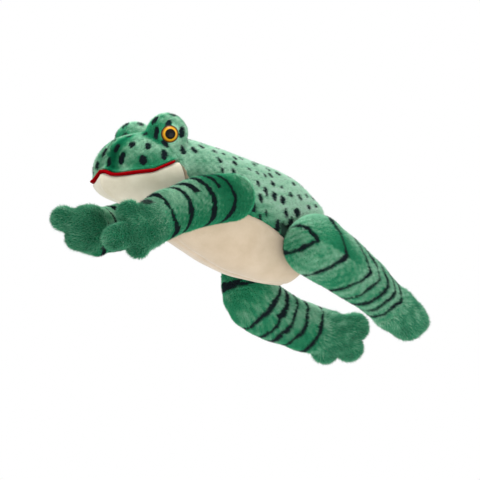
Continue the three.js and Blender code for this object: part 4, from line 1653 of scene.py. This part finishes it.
class FROG_OT_glove(bpy.types.Operator):
    """Makes the lining, the finger pocket, the rolled hem and its stitches"""

    bl_idname = "frog.glove"
    bl_label = "Glove"

    def execute(self, context):
        def room(p):
            folds = 0.7 * np.sin(p[:, 1] * 0.21 + 2 * np.sin(p[:, 0] * 0.09)) + 0.5 * wobble(p, 9, 80)
            return loft(p, GLOVE, 12) + 0.6 + folds

        points, faces = skin(room, (-44, -206, -44), (44, 48, 96), 3.4)
        whole = put("whole_glove", points, faces, None)
        tube_part = cut(whole, lambda p: -(p @ RUMP) - 1.0, True, "tube_part")
        lining = cut(tube_part, lambda p: p[:, 1] - HEAD_FROM, True, "glove_lining_cloth")
        pocket = cut(tube_part, lambda p: p[:, 1] - HEAD_FROM, False, "finger_room_cloth")
        rows = (
            (lining, ("torso", "neck"), TURN_BEND, ("glove_lining",)),
            (pocket, ("neck", "head"), NOD_BEND, ("finger_pocket", "neck_sleeve")),
        )
        for cloth, bodies, ends, nodes in rows:
            cloth.data.materials.append(cotton())
            finished(cloth, LINING_WALL, 1)
            bend(cloth, bodies, ends)
            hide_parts(*nodes)
            p = points_of(cloth)
        drop(whole)
        drop(tube_part)
        self.hem()
        return {"FINISHED"}

    def hem(self):
        count = 160
        a = np.linspace(0, 2 * np.pi, count, endpoint=False)
        half, top, bottom = smooth_curve(np.array([0.0]), GLOVE)[0]
        x = (half + 0.6) * np.cos(a)
        z = (top + bottom) / 2 + ((top - bottom) / 2 + 0.6) * np.sin(a)
        y = -z * RUMP[2] / RUMP[1]
        path = np.column_stack([x, y, z])
        roll = tube(path, HEM_RADIUS, 10, closed=True)
        points, faces = lace(roll + [roll[0]], closed_ends=False)
        hem = put("glove_hem_roll", points, faces, cotton())
        recalculated(hem)
        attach(hem, "torso")
        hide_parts("glove_hem")
        stitches = self.stitches(path + RUMP * HEM_RADIUS)
        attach(stitches, "torso")

    def stitches(self, path):
        """Short stitches spaced along a closed line."""
        count = len(path)
        mesh = bpy.data.meshes.new("stitch_line")
        mesh.from_pydata((path * MM).tolist(), [(k, (k + 1) % count) for k in range(count)], [])
        line = bpy.data.objects.new("stitch_line", mesh)
        bpy.context.scene.collection.objects.link(line)
        values = {"Spacing": 0.0032, "Length": 0.0011, "Radius": 0.00032, "Material": thread()}
        made = modified(line, stitch_tree(), values, "hem_stitches")
        made.data.polygons.foreach_set("use_smooth", np.ones(len(made.data.polygons), dtype=bool))
        drop(line)
        return made


class FROG_PT_panel(bpy.types.Panel):
    """Lists the makers of the frog's pieces"""

    bl_idname = "FROG_PT_panel"
    bl_label = "Plush Frog Puppet"
    bl_space_type = "VIEW_3D"
    bl_region_type = "UI"
    bl_category = "Frog"

    def draw(self, context):
        for owner in (context.scene.frog_sizes, context.scene.frog_colours):
            for key in owner.__annotations__:
                self.layout.prop(owner, key)
        for maker in MAKERS:
            self.layout.operator(maker.bl_idname)


MAKERS = (
    FROG_OT_stage,
    FROG_OT_body,
    FROG_OT_head,
    FROG_OT_mouth,
    FROG_OT_eyes,
    FROG_OT_limbs,
    FROG_OT_glove,
)
CLASSES = (FrogSizes, FrogColours, *MAKERS, FROG_PT_panel)


def register():
    for kind in CLASSES:
        bpy.utils.register_class(kind)
    bpy.types.Scene.frog_sizes = PointerProperty(type=FrogSizes)
    bpy.types.Scene.frog_colours = PointerProperty(type=FrogColours)


def unregister():
    del bpy.types.Scene.frog_colours
    del bpy.types.Scene.frog_sizes
    for kind in reversed(CLASSES):
        bpy.utils.unregister_class(kind)


def main():
    register()
    for step in ("stage", "body", "head", "mouth", "eyes", "limbs", "glove"):
        getattr(bpy.ops.frog, step)()


if __name__ == "__main__":
    main()
